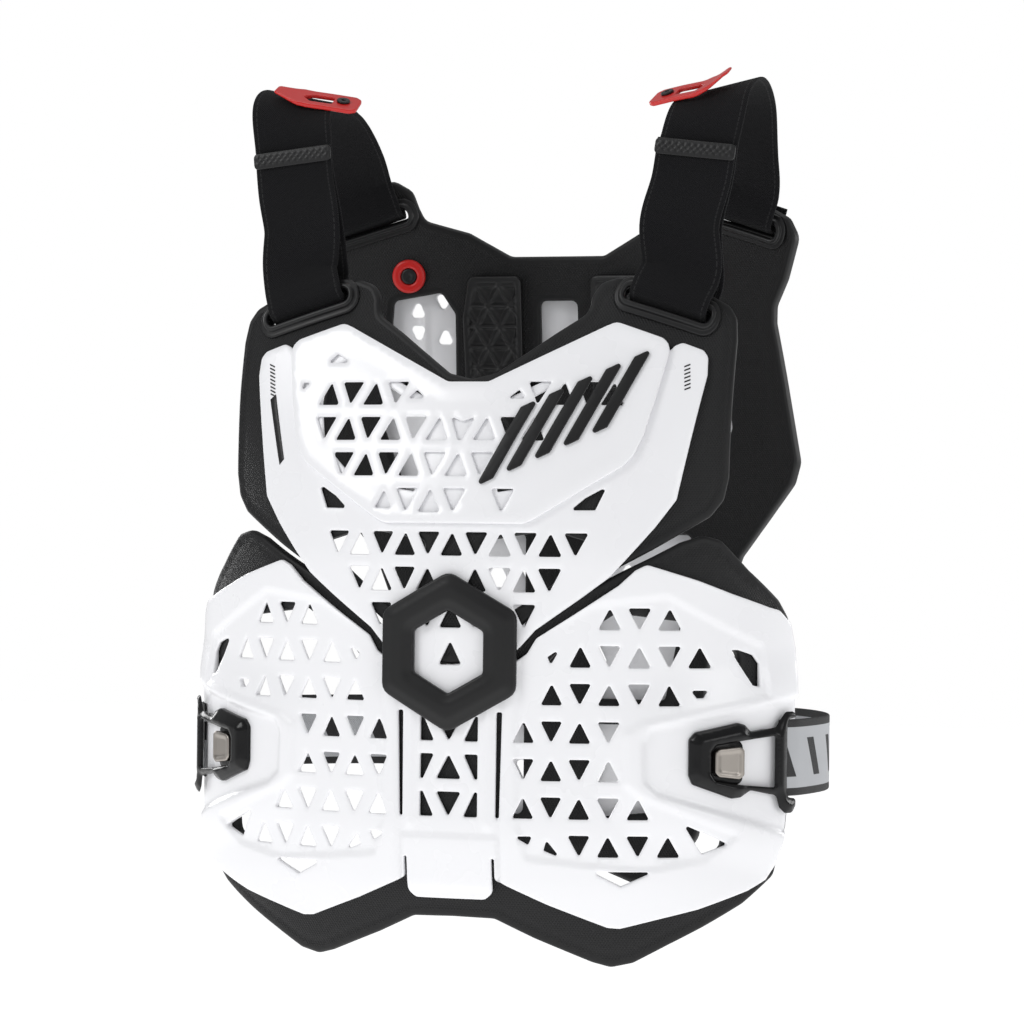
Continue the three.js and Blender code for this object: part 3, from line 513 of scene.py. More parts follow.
        top, bottom = heights(flat)
        layers = [self.place(*flat.T, top), self.place(*flat.T, bottom)]
        coords = [flat, flat]
        size = len(flat)
        rows = [number]
        first = 2 * size
        crest, foot = heights(loop)
        round_edge = np.minimum(self.edge, (crest - foot) * 0.48)
        angles = np.linspace(pi / 2, 0, self.arc_rows + 1)[1:]
        for outer_side in (True, False):
            for angle in angles if outer_side else angles[::-1]:
                spot = loop + inward * self.edge * (1 - cos(angle))
                drop = round_edge * (1 - sin(angle))
                layers.append(self.place(*spot.T, crest - drop if outer_side else foot + drop))
                coords.append(spot)
                rows.append(first + np.arange(len(loop)))
                first += len(loop)
        rows.append(number + size)
        walls = [np.stack([a, b, b[following], a[following]], -1) for a, b in zip(rows[:-1], rows[1:])]
        meshed = [faces, faces[:, ::-1] + size, *walls]
        if self.inside_out:
            meshed = [f[:, ::-1] for f in meshed]
        points = to_part(np.concatenate(layers))
        spots = np.concatenate(coords)
        piece = make_mesh(self.name, points, meshed, spots * MM)
        depth = piece.data.attributes.new("rim", "FLOAT", "POINT")
        depth.data.foreach_set("value", nearest(spots, loop).astype(np.float32))
        return piece


@dataclass(frozen=True)
class Key:
    """A point of a strap's route and the direction across the strap there."""

    at: Array
    across: Array


class Route:
    """A smooth route through keys: a centripetal Catmull-Rom curve."""

    def __init__(self, keys: Sequence[Key]) -> None:
        """Keep the keys as arrays, with a reflected point beyond each end."""
        points = np.array([key.at for key in keys])
        self.points = np.concatenate([[2 * points[0] - points[1]], points, [2 * points[-1] - points[-2]]])
        self.across = np.array([key.across for key in keys])

    def sample(self, where: Array) -> tuple[Array, Array, Array, Array]:
        """Place, tangent, direction across and direction of the thickness at each key number."""
        last = len(self.across) - 1
        k = np.clip(np.floor(where).astype(int), 0, last - 1)
        w = (where - k)[:, None]
        p0, p1, p2, p3 = (self.points[k + i] for i in range(4))
        steps = (p1 - p0, p2 - p1, p3 - p2)
        d0, d1, d2 = (np.sqrt(np.linalg.norm(step, axis=1, keepdims=True)) for step in steps)
        m1 = ((p1 - p0) / d0 - (p2 - p0) / (d0 + d1) + (p2 - p1) / d1) * d1
        m2 = ((p2 - p1) / d1 - (p3 - p1) / (d1 + d2) + (p3 - p2) / d2) * d1
        c2 = -3 * p1 + 3 * p2 - 2 * m1 - m2
        c3 = 2 * p1 - 2 * p2 + m1 + m2
        place = p1 + m1 * w + c2 * w**2 + c3 * w**3
        tangent = m1 + 2 * c2 * w + 3 * c3 * w**2
        tangent /= np.linalg.norm(tangent, axis=1, keepdims=True)
        across = self.across[k] * (1 - w) + self.across[k + 1] * w
        across -= tangent * (across * tangent).sum(1, keepdims=True)
        across /= np.linalg.norm(across, axis=1, keepdims=True)
        return place, tangent, across, np.cross(tangent, across)

    @property
    def last(self) -> float:
        """Number of the last key."""
        return float(len(self.across) - 1)

    def length(self, last: float, count: int) -> float:
        """Length in metres from the first key to a key number, from a count of points."""
        place, *_ = self.sample(np.linspace(0, last, count))
        return float(np.linalg.norm(np.diff(place, axis=0), axis=1).sum()) * MM


@dataclass
class Ribbon:
    """Webbing: a flat rounded section carried along a route."""

    name: str
    route: Route
    width: float
    wall: float
    steps: int
    end: Optional[float] = None

    def section(self) -> Array:
        """Flat section with round edges, as across and thickness pairs."""
        flat = np.linspace(-1, 1, 15)[:, None] * np.array([[self.width / 2 - self.wall / 2, 0.0]])
        upper = flat + np.array([[0.0, self.wall / 2]])
        turn = np.linspace(pi / 2, -pi / 2, 6)[1:-1]
        side = np.stack([np.cos(turn), np.sin(turn)], -1) * self.wall / 2
        right = side + flat[-1]
        lower = flat[::-1] - np.array([[0.0, self.wall / 2]])
        left = side[::-1] * np.array([[-1.0, 1.0]]) + flat[0]
        return np.concatenate([upper, right, lower, left])

    def build(self, mirror: bool) -> bpy.types.Object:
        """Sweep the section and close both ends.

        Args:
            mirror: True for the piece on the other side of the centre plane.

        Returns:
            The closed piece, with its length and width as UV.
        """
        where = np.linspace(0, self.route.last if self.end is None else self.end, self.steps + 1)
        place, _, across, thick = self.route.sample(where)
        section = self.section()
        points = (
            place[:, None, :]
            + across[:, None, :] * section[None, :, 0, None]
            + thick[:, None, :] * section[None, :, 1, None]
        )
        run = np.concatenate([[0.0], np.cumsum(np.linalg.norm(np.diff(place, axis=0), axis=1))])
        coords = np.stack(np.broadcast_arrays(run[:, None], section[None, :, 0]), -1).reshape(-1, 2)
        flat, faces = swept(points, len(where), len(section))
        if mirror:
            flat = flat * np.array([-1.0, 1.0, 1.0])
            faces = [f[:, ::-1] for f in faces]
        return make_mesh(self.name, to_part(flat), faces, coords * MM)


@dataclass
class Lip:
    """A moulded lip: a closed profile carried round a closed outline on a panel."""

    name: str
    panel: Panel
    outline: Outline
    profile: Sequence[tuple[float, float]]
    corner: float

    def build(self) -> bpy.types.Object:
        """Each profile point moves the outline outwards by its first number and proud by its second.

        Returns:
            The closed ring.
        """
        loop = turned(fillet(self.outline, self.corner, 1.6), True)
        following = np.roll(np.arange(len(loop)), -1)
        outward = -Moulding.inward(loop, following)
        rows = [
            self.panel.point(spot[:, 0], spot[:, 1], np.full(len(loop), proud))
            for spot, proud in ((loop + outward * out, proud) for out, proud in self.profile)
        ]
        coords = [loop + outward * out for out, _ in self.profile]
        count = len(loop)
        grid = np.arange(len(rows) * count).reshape(len(rows), count)
        below = np.roll(grid, -1, 0)
        quads = np.stack([grid, np.roll(grid, -1, 1), np.roll(below, -1, 1), below], -1).reshape(-1, 4)
        points = np.concatenate(rows)
        if self.panel.facing > 0:
            quads = quads[:, ::-1]
        return make_mesh(self.name, to_part(points), [quads], np.concatenate(coords) * MM)


def stadium(x: float, z: float, length: float, height: float, tilt: float) -> Points:
    """A slot outline with sharp corners, to be rounded by half its height, turned by a tilt in degrees."""
    turn = radians(tilt)
    half, rise = length / 2, height / 2
    corners = [(-half, -rise), (half, -rise), (half, rise), (-half, rise)]
    return [(x + a * cos(turn) - b * sin(turn), z + a * sin(turn) + b * cos(turn)) for a, b in corners]


def sized(outline: Outline) -> Points:
    """Turn shares of the girth's half width and of REACH into millimetres."""
    return [(x * GIRTH.half, z * REACH) for x, z in outline]


def triangle(x: float, base: float, width: float, height: float, up: bool) -> Points:
    """A triangle that stands on its base, or hangs from its top edge."""
    half = width / 2
    if up:
        return [(x - half, base), (x + half, base), (x, base + height)]
    return [(x, base), (x + half, base + height), (x - half, base + height)]


def both(outlines: Sequence[Outline]) -> list[Outline]:
    """Outlines on the right and on the left."""
    return [*outlines, *(mirrored(outline) for outline in outlines)]


FRONT_SLOT = (0.585 * GIRTH.half, 0.455 * REACH)
BACK_SLOT = (0.636 * GIRTH.half, 0.677 * REACH)
SLOT_LENGTH = 60.0
SLOT_HEIGHT = 9.0
STRAP_END = 0.7
SLOT_TILT = -17.5
FOAM_WALL = 8.0
BACK_FOAM_WALL = 9.0
LAYER_GAP = 0.4
PLATE_WALL = 2.5
WEBBING_WALL = 2.4


def put(tree: bpy.types.NodeTree, kind: str, inputs: dict, **settings: object) -> bpy.types.Node:
    """Add a shader node, make its settings, then link or set its inputs.

    Args:
        tree: Tree that takes the node.
        kind: Type of the node, without its prefix.
        inputs: By the input's name or number, a socket to link or a value to set.
        settings: Properties of the node.

    Returns:
        The node.
    """
    node = tree.nodes.new(f"ShaderNode{kind}")
    for name, value in settings.items():
        setattr(node, name, value)
    for name, value in inputs.items():
        if isinstance(value, Socket):
            tree.links.new(value, node.inputs[name])
        else:
            node.inputs[name].default_value = value
    return node


def calc(tree: bpy.types.NodeTree, operation: str, *values: object) -> Socket:
    """Result of a Math node on sockets and numbers."""
    return put(tree, "Math", dict(enumerate(values)), operation=operation).outputs[0]


class Groups:
    """Shader node groups that several finishes share, each built once."""

    @staticmethod
    def _start(name: str, numbers: dict[str, float], outputs: Sequence[str]) -> tuple:
        """Make an empty group that takes a vector and numbers, and return it with its inner sockets."""
        group = bpy.data.node_groups.new(name, "ShaderNodeTree")
        group.interface.new_socket(name="Vector", in_out="INPUT", socket_type="NodeSocketVector")
        for label, value in numbers.items():
            socket = group.interface.new_socket(name=label, in_out="INPUT", socket_type="NodeSocketFloat")
            socket.default_value = value
        for label in outputs:
            group.interface.new_socket(name=label, in_out="OUTPUT", socket_type="NodeSocketFloat")
        return group, group.nodes.new("NodeGroupInput").outputs, group.nodes.new("NodeGroupOutput").inputs

    @staticmethod
    def _wave(group: bpy.types.NodeTree, place: Socket, pitch: Socket) -> Socket:
        """Sine ridges at a pitch."""
        return calc(group, "SINE", calc(group, "MULTIPLY", place, calc(group, "DIVIDE", 2 * pi, pitch)))

    @classmethod
    def grain(cls) -> bpy.types.NodeTree:
        """Fine mould grain as a height, and broad clouds."""
        group, source, target = cls._start("mould_grain", {"Scale": 900.0}, ["Height", "Cloud"])
        for scale, detail, output in ((source["Scale"], 3.0, "Height"), (14.0, 4.0, "Cloud")):
            noise = put(group, "TexNoise", {"Vector": source["Vector"], "Scale": scale, "Detail": detail})
            group.links.new(noise.outputs["Fac"], target[output])
        return group

    @classmethod
    def twill(cls) -> bpy.types.NodeTree:
        """Two families of slanted sine ridges: the height is the larger of the two, as in a woven cloth."""
        group, source, target = cls._start("twill", {"Pitch": 0.0016, "Slant": 0.55}, ["Height"])
        split = put(group, "SeparateXYZ", {0: source["Vector"]}).outputs
        lean = calc(group, "MULTIPLY", split["Y"], source["Slant"])
        slanted = [calc(group, kind, split["X"], lean) for kind in ("ADD", "SUBTRACT")]
        waves = [cls._wave(group, place, source["Pitch"]) for place in slanted]
        group.links.new(calc(group, "MAXIMUM", *waves), target["Height"])
        return group

    @classmethod
    def knit(cls) -> bpy.types.NodeTree:
        """Webbing: ribs along the length crossed by short stitches, with fuzz from noise."""
        group, source, target = cls._start("webbing_knit", {"Along": 0.0011, "Across": 0.0016}, ["Height"])
        split = put(group, "SeparateXYZ", {0: source["Vector"]}).outputs
        pitches = {"X": source["Along"], "Y": source["Across"]}
        waves = [cls._wave(group, split[axis], pitch) for axis, pitch in pitches.items()]
        fuzz = put(group, "TexNoise", {"Vector": source["Vector"], "Scale": 1400.0, "Detail": 4.0})
        height = calc(group, "ADD", calc(group, "MULTIPLY", *waves), fuzz.outputs["Fac"])
        group.links.new(height, target["Height"])
        return group


@dataclass(frozen=True)
class Finish:
    """One material: its plain shader values, and the pattern that drives its bump and colour."""

    name: str
    colour: tuple[float, float, float]
    dark: tuple[float, float, float]
    roughness: float
    pattern: str
    scale: dict
    bump: float
    depth: float
    mix: float
    metallic: float = 0.0
    coat: float = 0.0
    sheen: float = 0.0
    specular: float = 0.5
    smooth_rim: float = 0.0

    def build(self, groups: dict[str, bpy.types.NodeTree]) -> bpy.types.Material:
        """Colour between two shades and roughness from clouds, bump from the pattern.

        Args:
            groups: The shared node groups by name. Only grain lies in object space.

        Returns:
            The material.
        """
        material = bpy.data.materials.new(self.name)
        material.use_nodes = True
        tree = material.node_tree
        shader = tree.nodes["Principled BSDF"].inputs
        shader["Metallic"].default_value = self.metallic
        shader["Coat Weight"].default_value = self.coat
        shader["Coat Roughness"].default_value = 0.12
        shader["Sheen Weight"].default_value = self.sheen
        shader["Sheen Roughness"].default_value = 0.6
        shader["Specular IOR Level"].default_value = self.specular
        place = put(tree, "TexCoord", {}).outputs
        vector = place["Object" if self.pattern == "grain" else "UV"]
        pattern = put(tree, "Group", {"Vector": vector, **self.scale}, node_tree=groups[self.pattern])
        height = pattern.outputs["Height"]
        cloud = put(tree, "Group", {"Vector": place["Object"]}, node_tree=groups["grain"]).outputs["Cloud"]
        span = {"Value": cloud, "From Min": 0.3, "From Max": 0.7, "To Min": 1 - self.mix}
        level = put(tree, "MapRange", span).outputs["Result"]
        shades = {"A": (*self.dark, 1), "B": (*self.colour, 1), "Factor": level}
        tree.links.new(put(tree, "Mix", shades, data_type="RGBA").outputs["Result"], shader["Base Color"])
        span = {"Value": cloud, "To Min": self.roughness - 0.05, "To Max": self.roughness + 0.05}
        tree.links.new(put(tree, "MapRange", span).outputs["Result"], shader["Roughness"])
        if self.smooth_rim:
            rim = put(tree, "Attribute", {}, attribute_name="rim").outputs["Fac"]
            span = {"Value": rim, "From Min": self.smooth_rim - 0.7, "From Max": self.smooth_rim}
            inside = put(tree, "MapRange", span, interpolation_type="SMOOTHSTEP")
            height = calc(tree, "MULTIPLY", height, inside.outputs["Result"])
        bump = put(tree, "Bump", {"Strength": self.bump, "Distance": self.depth, "Height": height})
        tree.links.new(bump.outputs["Normal"], shader["Normal"])
        return material


FINISHES = {
    "white": Finish("satin_white", (0.88, 0.88, 0.9), (0.85, 0.85, 0.875), 0.28, "grain", {"Scale": 1500.0},
                    0.05, 0.0002, 0.3, coat=0.15),
    "foam": Finish("embossed_foam", (0.008, 0.008, 0.0085), (0.005, 0.005, 0.0055), 0.5, "twill",
                   {"Pitch": 0.0021, "Slant": 0.7}, 0.75, 0.0002, 0.8, specular=0.3, smooth_rim=5.0),
    "plain_foam": Finish("smooth_foam", (0.007, 0.007, 0.0075), (0.005, 0.005, 0.0055), 0.4, "grain",
                         {"Scale": 1200.0}, 0.2, 0.0003, 0.7),
    "rubber": Finish("satin_rubber", (0.009, 0.009, 0.0095), (0.006, 0.006, 0.0065), 0.4, "grain",
                     {"Scale": 1800.0}, 0.15, 0.0002, 0.7, specular=0.36),
    "pile": Finish("loop_pile", (0.004, 0.004, 0.005), (0.002, 0.002, 0.003), 0.92, "knit",
                   {"Along": 0.0012, "Across": 0.0015}, 0.7, 0.0005, 0.8, sheen=0.03, specular=0.2),
    "buckle": Finish("moulded_black", (0.005, 0.005, 0.0055), (0.004, 0.004, 0.0045), 0.22, "grain",
                     {"Scale": 1600.0}, 0.08, 0.0002, 0.7, specular=0.26),
    "red": Finish("satin_red", (0.58, 0.012, 0.01), (0.48, 0.01, 0.008), 0.35, "grain", {"Scale": 1400.0},
                  0.08, 0.0002, 0.6),
    "nickel": Finish("brushed_nickel", (0.36, 0.33, 0.3), (0.28, 0.26, 0.24), 0.34, "grain", {"Scale": 700.0},
                     0.15, 0.0002, 0.8, metallic=1.0),
    "webbing": Finish("light_webbing", (0.5, 0.51, 0.53), (0.44, 0.45, 0.47), 0.75, "knit",
                      {"Along": 0.0014, "Across": 0.0018}, 0.6, 0.0004, 0.7, sheen=0.05),
}
HEM_PLACE = 0.0238
HEM_HALF = 0.00045
STITCH_PITCH = 0.0032
STITCH_GAP = 0.25
BORDER_PLACE = 0.0198
BLOCK_HALF = 0.0125
BLOCK_PITCH = 0.034
BLOCK_SHARE = 0.3
BLOCK_LEAN = 0.45


def hem(tree: bpy.types.NodeTree, along: Socket, across: Socket) -> Socket:
    """Mask of a row of stitches just inside each edge of the strap."""
    gap = calc(tree, "ABSOLUTE", calc(tree, "SUBTRACT", calc(tree, "ABSOLUTE", across), HEM_PLACE))
    phase = calc(tree, "FRACT", calc(tree, "DIVIDE", along, STITCH_PITCH))
    row = calc(tree, "LESS_THAN", gap, HEM_HALF)
    return calc(tree, "MULTIPLY", row, calc(tree, "GREATER_THAN", phase, STITCH_GAP))


def blocks(tree: bpy.types.NodeTree, along: Socket, across: Socket) -> Socket:
    """Mask of the webbing's dark edges and of slanted blocks between them."""
    away = calc(tree, "ABSOLUTE", across)
    lean = calc(tree, "ADD", along, calc(tree, "MULTIPLY", across, BLOCK_LEAN))
    block = calc(tree, "LESS_THAN", calc(tree, "FRACT", calc(tree, "DIVIDE", lean, BLOCK_PITCH)), BLOCK_SHARE)
    block = calc(tree, "MULTIPLY", block, calc(tree, "LESS_THAN", away, BLOCK_HALF))
    return calc(tree, "MAXIMUM", calc(tree, "GREATER_THAN", away, BORDER_PLACE), block)


def overprint(material: bpy.types.Material, colour: tuple[float, float, float], mask: Callable) -> None:
    """Lay a plain colour over a material where a mask, worked out from its UV length and width, is 1."""
    tree = material.node_tree
    base = tree.nodes["Principled BSDF"].inputs["Base Color"]
    split = put(tree, "SeparateXYZ", {0: tree.nodes["Texture Coordinate"].outputs["UV"]}).outputs
    shades = {"A": base.links[0].from_socket, "B": (*colour, 1), "Factor": mask(tree, split["X"], split["Y"])}
    tree.links.new(put(tree, "Mix", shades, data_type="RGBA").outputs["Result"], base)


def wardrobe() -> Looks:
    """Build the shared groups, then one material for each finish."""
    groups = {"grain": Groups.grain(), "twill": Groups.twill(), "knit": Groups.knit()}
    looks = {name: finish.build(groups) for name, finish in FINISHES.items()}
    overprint(looks["webbing"], (0.012, 0.012, 0.013), blocks)
    overprint(looks["pile"], (0.02, 0.02, 0.021), hem)
    return looks


INNER_PLATE = [
    (0, 0.28), (0.065, 0.28), (0.41, 0.404), (0.44, 0.413), (0.585, 0.378), (0.605, 0.366), (0.61, 0.347),
    (0.58, 0.24), (0.555, 0.165), (0.53, 0.122), (0.5, 0.098), (0.255, -0.015), (0.22, -0.027), (0, -0.027),
]
OUTER_PLATE = [
    (0, 0.23), (0.08, 0.23), (0.46, 0.37), (0.56, 0.345), (0.61, 0.355), (0.622, 0.365), (0.645, 0.372),
    (0.71, 0.355), (0.725, 0.34), (0.727, 0.3), (0.66, 0.03), (0.603, -0.03), (0.547, -0.08), (0.48, -0.137),
    (0.397, -0.183), (0.262, -0.253), (0.22, -0.287), (0.15, -0.337), (0.11, -0.366), (0, -0.408),
]
LOWER_PLATE = [
    (0, -0.414), (0.112, -0.373), (0.16, -0.343), (0.238, -0.303), (0.266, -0.27), (0.369, -0.222),
    (0.505, -0.155), (0.552, -0.122), (0.584, -0.11), (0.724, -0.143), (0.905, -0.2), (0.93, -0.207),
    (0.955, -0.235),
    (0.965, -0.29), (0.965, -0.46), (0.945, -0.68), (0.92, -0.76), (0.9, -0.79), (0.855, -0.812),
    (0.724, -0.85), (0.505, -0.892), (0.47, -0.89), (0.3, -0.842), (0.16, -0.797), (0.143, -0.79),
    (0.143, -0.745), (0.134, -0.745), (0.134, -0.82), (0.11, -0.835), (0, -0.835),
]
UPPER_FOAM = [
    (0, 0.297), (0.075, 0.31), (0.25, 0.4), (0.34, 0.443), (0.345, 0.48), (0.37, 0.51), (0.43, 0.524),
    (0.6, 0.492), (0.72, 0.48), (0.775, 0.458), (0.8, 0.43), (0.808, 0.38), (0.808, 0.08), (0.795, 0.03),
    (0.76, -0.005), (0.6, -0.078), (0.39, -0.165), (0.34, -0.18), (0.25, -0.225), (0.075, -0.325), (0, -0.33),
]
LOWER_FOAM = [
    (0, -0.345), (0.13, -0.332), (0.25, -0.242), (0.34, -0.197), (0.42, -0.162), (0.6, -0.093),
    (0.68, -0.06), (0.74, -0.045), (0.79, -0.055), (0.94, -0.185), (0.96, -0.22), (0.972, -0.26),
    (0.977, -0.31), (0.977, -0.48), (0.96, -0.68), (0.93, -0.785), (0.85, -0.845), (0.74, -0.895),
    (0.54, -0.973), (0.475, -0.983), (0.42, -0.972), (0.25, -0.922), (0.13, -0.882), (0, -0.88),
]
BACK_FOAM = [
    (0, 0.603), (0.16, 0.603), (0.3, 0.66), (0.45, 0.69), (0.47, 0.72), (0.49, 0.76), (0.55, 0.785),
    (0.61, 0.775), (0.7, 0.72), (0.8, 0.68), (0.83, 0.635), (0.79, 0.54), (0.75, 0.48), (0.748, 0.44),
    (0.78, 0.32), (0.83, 0.12), (0.81, 0.07), (0.63, -0.1), (0.53, -0.3), (0.5, -0.45), (0.49, -0.75),
    (0.44, -0.81), (0.37, -0.85), (0.28, -0.87), (0.12, -0.83), (0, -0.83),
]
BACK_SHELL = [
    (0, 0.53), (0.6, 0.53), (0.66, 0.44), (0.69, 0.32), (0.74, 0.12), (0.72, 0.07), (0.56, -0.1),
    (0.47, -0.3), (0.44, -0.45), (0.43, -0.72), (0.37, -0.8), (0.28, -0.83), (0, -0.8),
]
LOWER_FOAM_WINDOW = [
    (0.18, -0.74), (0.2, -0.4), (0.34, -0.29), (0.5, -0.215), (0.72, -0.235), (0.84, -0.3),
    (0.8, -0.72), (0.6, -0.8), (0.45, -0.82), (0.3, -0.76),
]
CHEST_FOAM_WINDOW = [(0.08, 0.215), (0.1, 0.02), (0.34, 0.05), (0.48, 0.14), (0.53, 0.32), (0.42, 0.36)]
NECK_FOAM_WINDOW = [(0.09, -0.06), (0.13, -0.24), (0.3, -0.16), (0.46, -0.07), (0.3, -0.035)]
BACK_OUTER_WINDOW = [(0.36, 0.05), (0.52, 0.03), (0.6, 0.2), (0.56, 0.5), (0.4, 0.52), (0.355, 0.47)]
BACK_LOWER_WINDOW = [(0.12, -0.72), (0.36, -0.7), (0.38, -0.5), (0.12, -0.5)]
BACK_WAIST_WINDOW = [(0.12, -0.44), (0.37, -0.44), (0.42, -0.26), (0.46, -0.05), (0.12, -0.05)]
BACK_CENTRE_WINDOW = [(-0.065, 0.32), (0.065, 0.32), (0.065, 0.5), (-0.065, 0.5)]
BUCKLE_BODY = [
    (0.0, -0.15), (0.03, -0.24), (0.36, -0.38), (0.44, -0.37), (0.52, -0.3), (0.76, -0.36), (0.79, -0.48),
    (0.85, -0.54), (0.93, -0.54), (0.97, -0.47), (0.97, -0.4), (0.88, -0.385), (0.87, -0.3), (0.87, 0.28),
    (0.88, 0.385), (0.97, 0.4), (0.97, 0.43), (0.93, 0.46), (0.85, 0.46), (0.79, 0.38), (0.75, 0.31),
    (0.52, 0.27), (0.47, 0.34), (0.41, 0.36), (0.05, 0.27), (0.0, 0.2),
]
BUCKLE_WINDOW = [
    (0.175, -0.13), (0.21, -0.2), (0.46, -0.25), (0.74, -0.28), (0.74, 0.23), (0.46, 0.19), (0.21, 0.14),
    (0.175, 0.08),
]
BUCKLE_BUTTON = [
    (0.2, -0.12), (0.235, -0.165), (0.41, -0.19), (0.45, -0.15), (0.45, 0.1), (0.41, 0.13), (0.235, 0.11),
    (0.2, 0.07),
]
BUCKLE_TRAY = [(0.17, -0.14), (0.2, -0.21), (0.47, -0.26), (0.47, 0.2), (0.2, 0.15), (0.17, 0.09)]


@dataclass
class ChestPlates:
    """The white chest shells: an inner perforated plate over an outer one with wings and a bib."""

    column: float = 16.2
    row: float = 23.3
    first_row: float = 69.0
    hole: float = 15.4
    margin: float = 3.0
    window_share: float = 0.86

    def holes(self) -> list[Outline]:
        """Perforations of the inner plate, rows down from the neckline, fuller on the left."""
        left = ((3, 6), (1, 6), (0, 6), (0, 2))
        right = ((3, 6), (1, 3), (1, 1), (2, 3))
        outlines: list[Outline] = []
        for sign, ranges in ((-1, left), (1, right)):
            for i, (first, last) in enumerate(ranges):
                base = self.first_row - self.row * i
                for k in range(first, last + 1):
                    up = (k + i) % 2 == 0
                    outlines.append(triangle(sign * self.column * k, base, self.hole, self.hole, up))
        outlines.append(triangle(-3 * self.column, 1.5, 12.0, 12.0, True))
        notched = self.first_row - self.row
        outlines.append([
            (-8.4, notched + self.hole), (-1.2, notched), (1.2, notched), (8.4, notched + self.hole),
            (0, notched + self.hole - 3.2)])
        for sign in (-1, 1):
            outlines.append([(sign * x, z) for x, z in ((28.0, 73.0), (40.5, 73.0), (35.0, 79.0))])
        outlines.append(mirrored(sized([(0.396, 0.324), (0.476, 0.3245), (0.45, 0.345)])))
        outlines.append([(-118.5, 78.5), (-112.5, 84.0), (-118.5, 84.0)])
        field = whole(sized(INNER_PLATE))
        return [
            outline for outline in outlines
            if polygon_gap(*np.array(outline, float).T, field).max() < -self.margin]

    def bib(self) -> list[Outline]:
        """Perforations of the bib below the inner plate, on both sides of the badge."""
        outlines = [triangle(0, base, self.hole, self.hole, True) for base in (-28.5, -99.0, -75.0)]
        pairs = []
        for base, first, last, even in ((-28.5, 1, 5, True), (-51.6, 1, 4, False), (-75.0, 1, 3, True)):
            for k in range(first, last + 1):
                pairs.append(triangle(self.column * k, base, self.hole, self.hole, (k % 2 == 0) == even))
        pairs.append([(76.5, 1.6), (92.0, 1.8), (97.6, 15.0), (95.3, 15.4), (85.5, 9.6)])
        return outlines + both(pairs)

    def build(self, looks: Looks) -> None:
        """Mould both plates."""

        def crown(s: Array, z: Array, edge: Array, hole: Array) -> Array:
            """The rim stands 0.7 mm above the perforated field."""
            return LAYER_GAP + PLATE_WALL + 0.7 * (1 - soft_step((edge - 7) / 5))

        inner = Moulding(
            "chest_shell_inner", FRONT.point, shell_outline(INNER_PLATE),
            wrapped(self.holes()), inner=flat_height(LAYER_GAP), outer=crown, corner=7.0)
        report(inner.build(), Slot.PLATE, looks["white"], "chest_plate_inner")

        window = np.array(sized(CHEST_FOAM_WINDOW))
        middle = window.mean(0)
        windows = both([(middle + self.window_share * (window - middle)).tolist()])
        self.prints(looks)
        outer = Moulding(
            "chest_shell_outer", FRONT.point, shell_outline(OUTER_PLATE),
            wrapped([*windows, *self.bib()]), corner=5.0)
        report(outer.build(), Slot.PLATE, looks["white"], "chest_plate_outer")

    def prints(self, looks: Looks) -> None:
        """A plain dark stripe and slanted ticks on the wings, as a film 0.15 mm thick."""
        film = [("wing_stripe", [(-143.9, 73.6), (-139.9, 77.2), (-128.2, 33.6), (-131.6, 29.6)])]
        for side, count, x, z, shift, tick in (
            ("left", 9, -147.6, 97.0, 0.42, [(0, 0), (4.2, -1.8), (4.2, -0.8), (0, 1.0)]),
            ("right", 7, 140.4, 96.4, 0.24, [(0, -1.6), (3.8, 0), (3.8, 1.0), (0, -0.6)]),
        ):
            for i in range(count):
                film.append((f"{side}_tick_{i + 1}", [(x + shift * i + a, z - 2.5 * i + b) for a, b in tick]))
        for name, outline in film:
            mark = Moulding(
                name, FRONT.point, at_girth(outline), inner=flat_height(0.05), outer=flat_height(0.2),
                edge=0.05, corner=0.2, step=3.0, arc_rows=1)
            report(mark.build(), Slot.GRAPHIC, looks["rubber"])


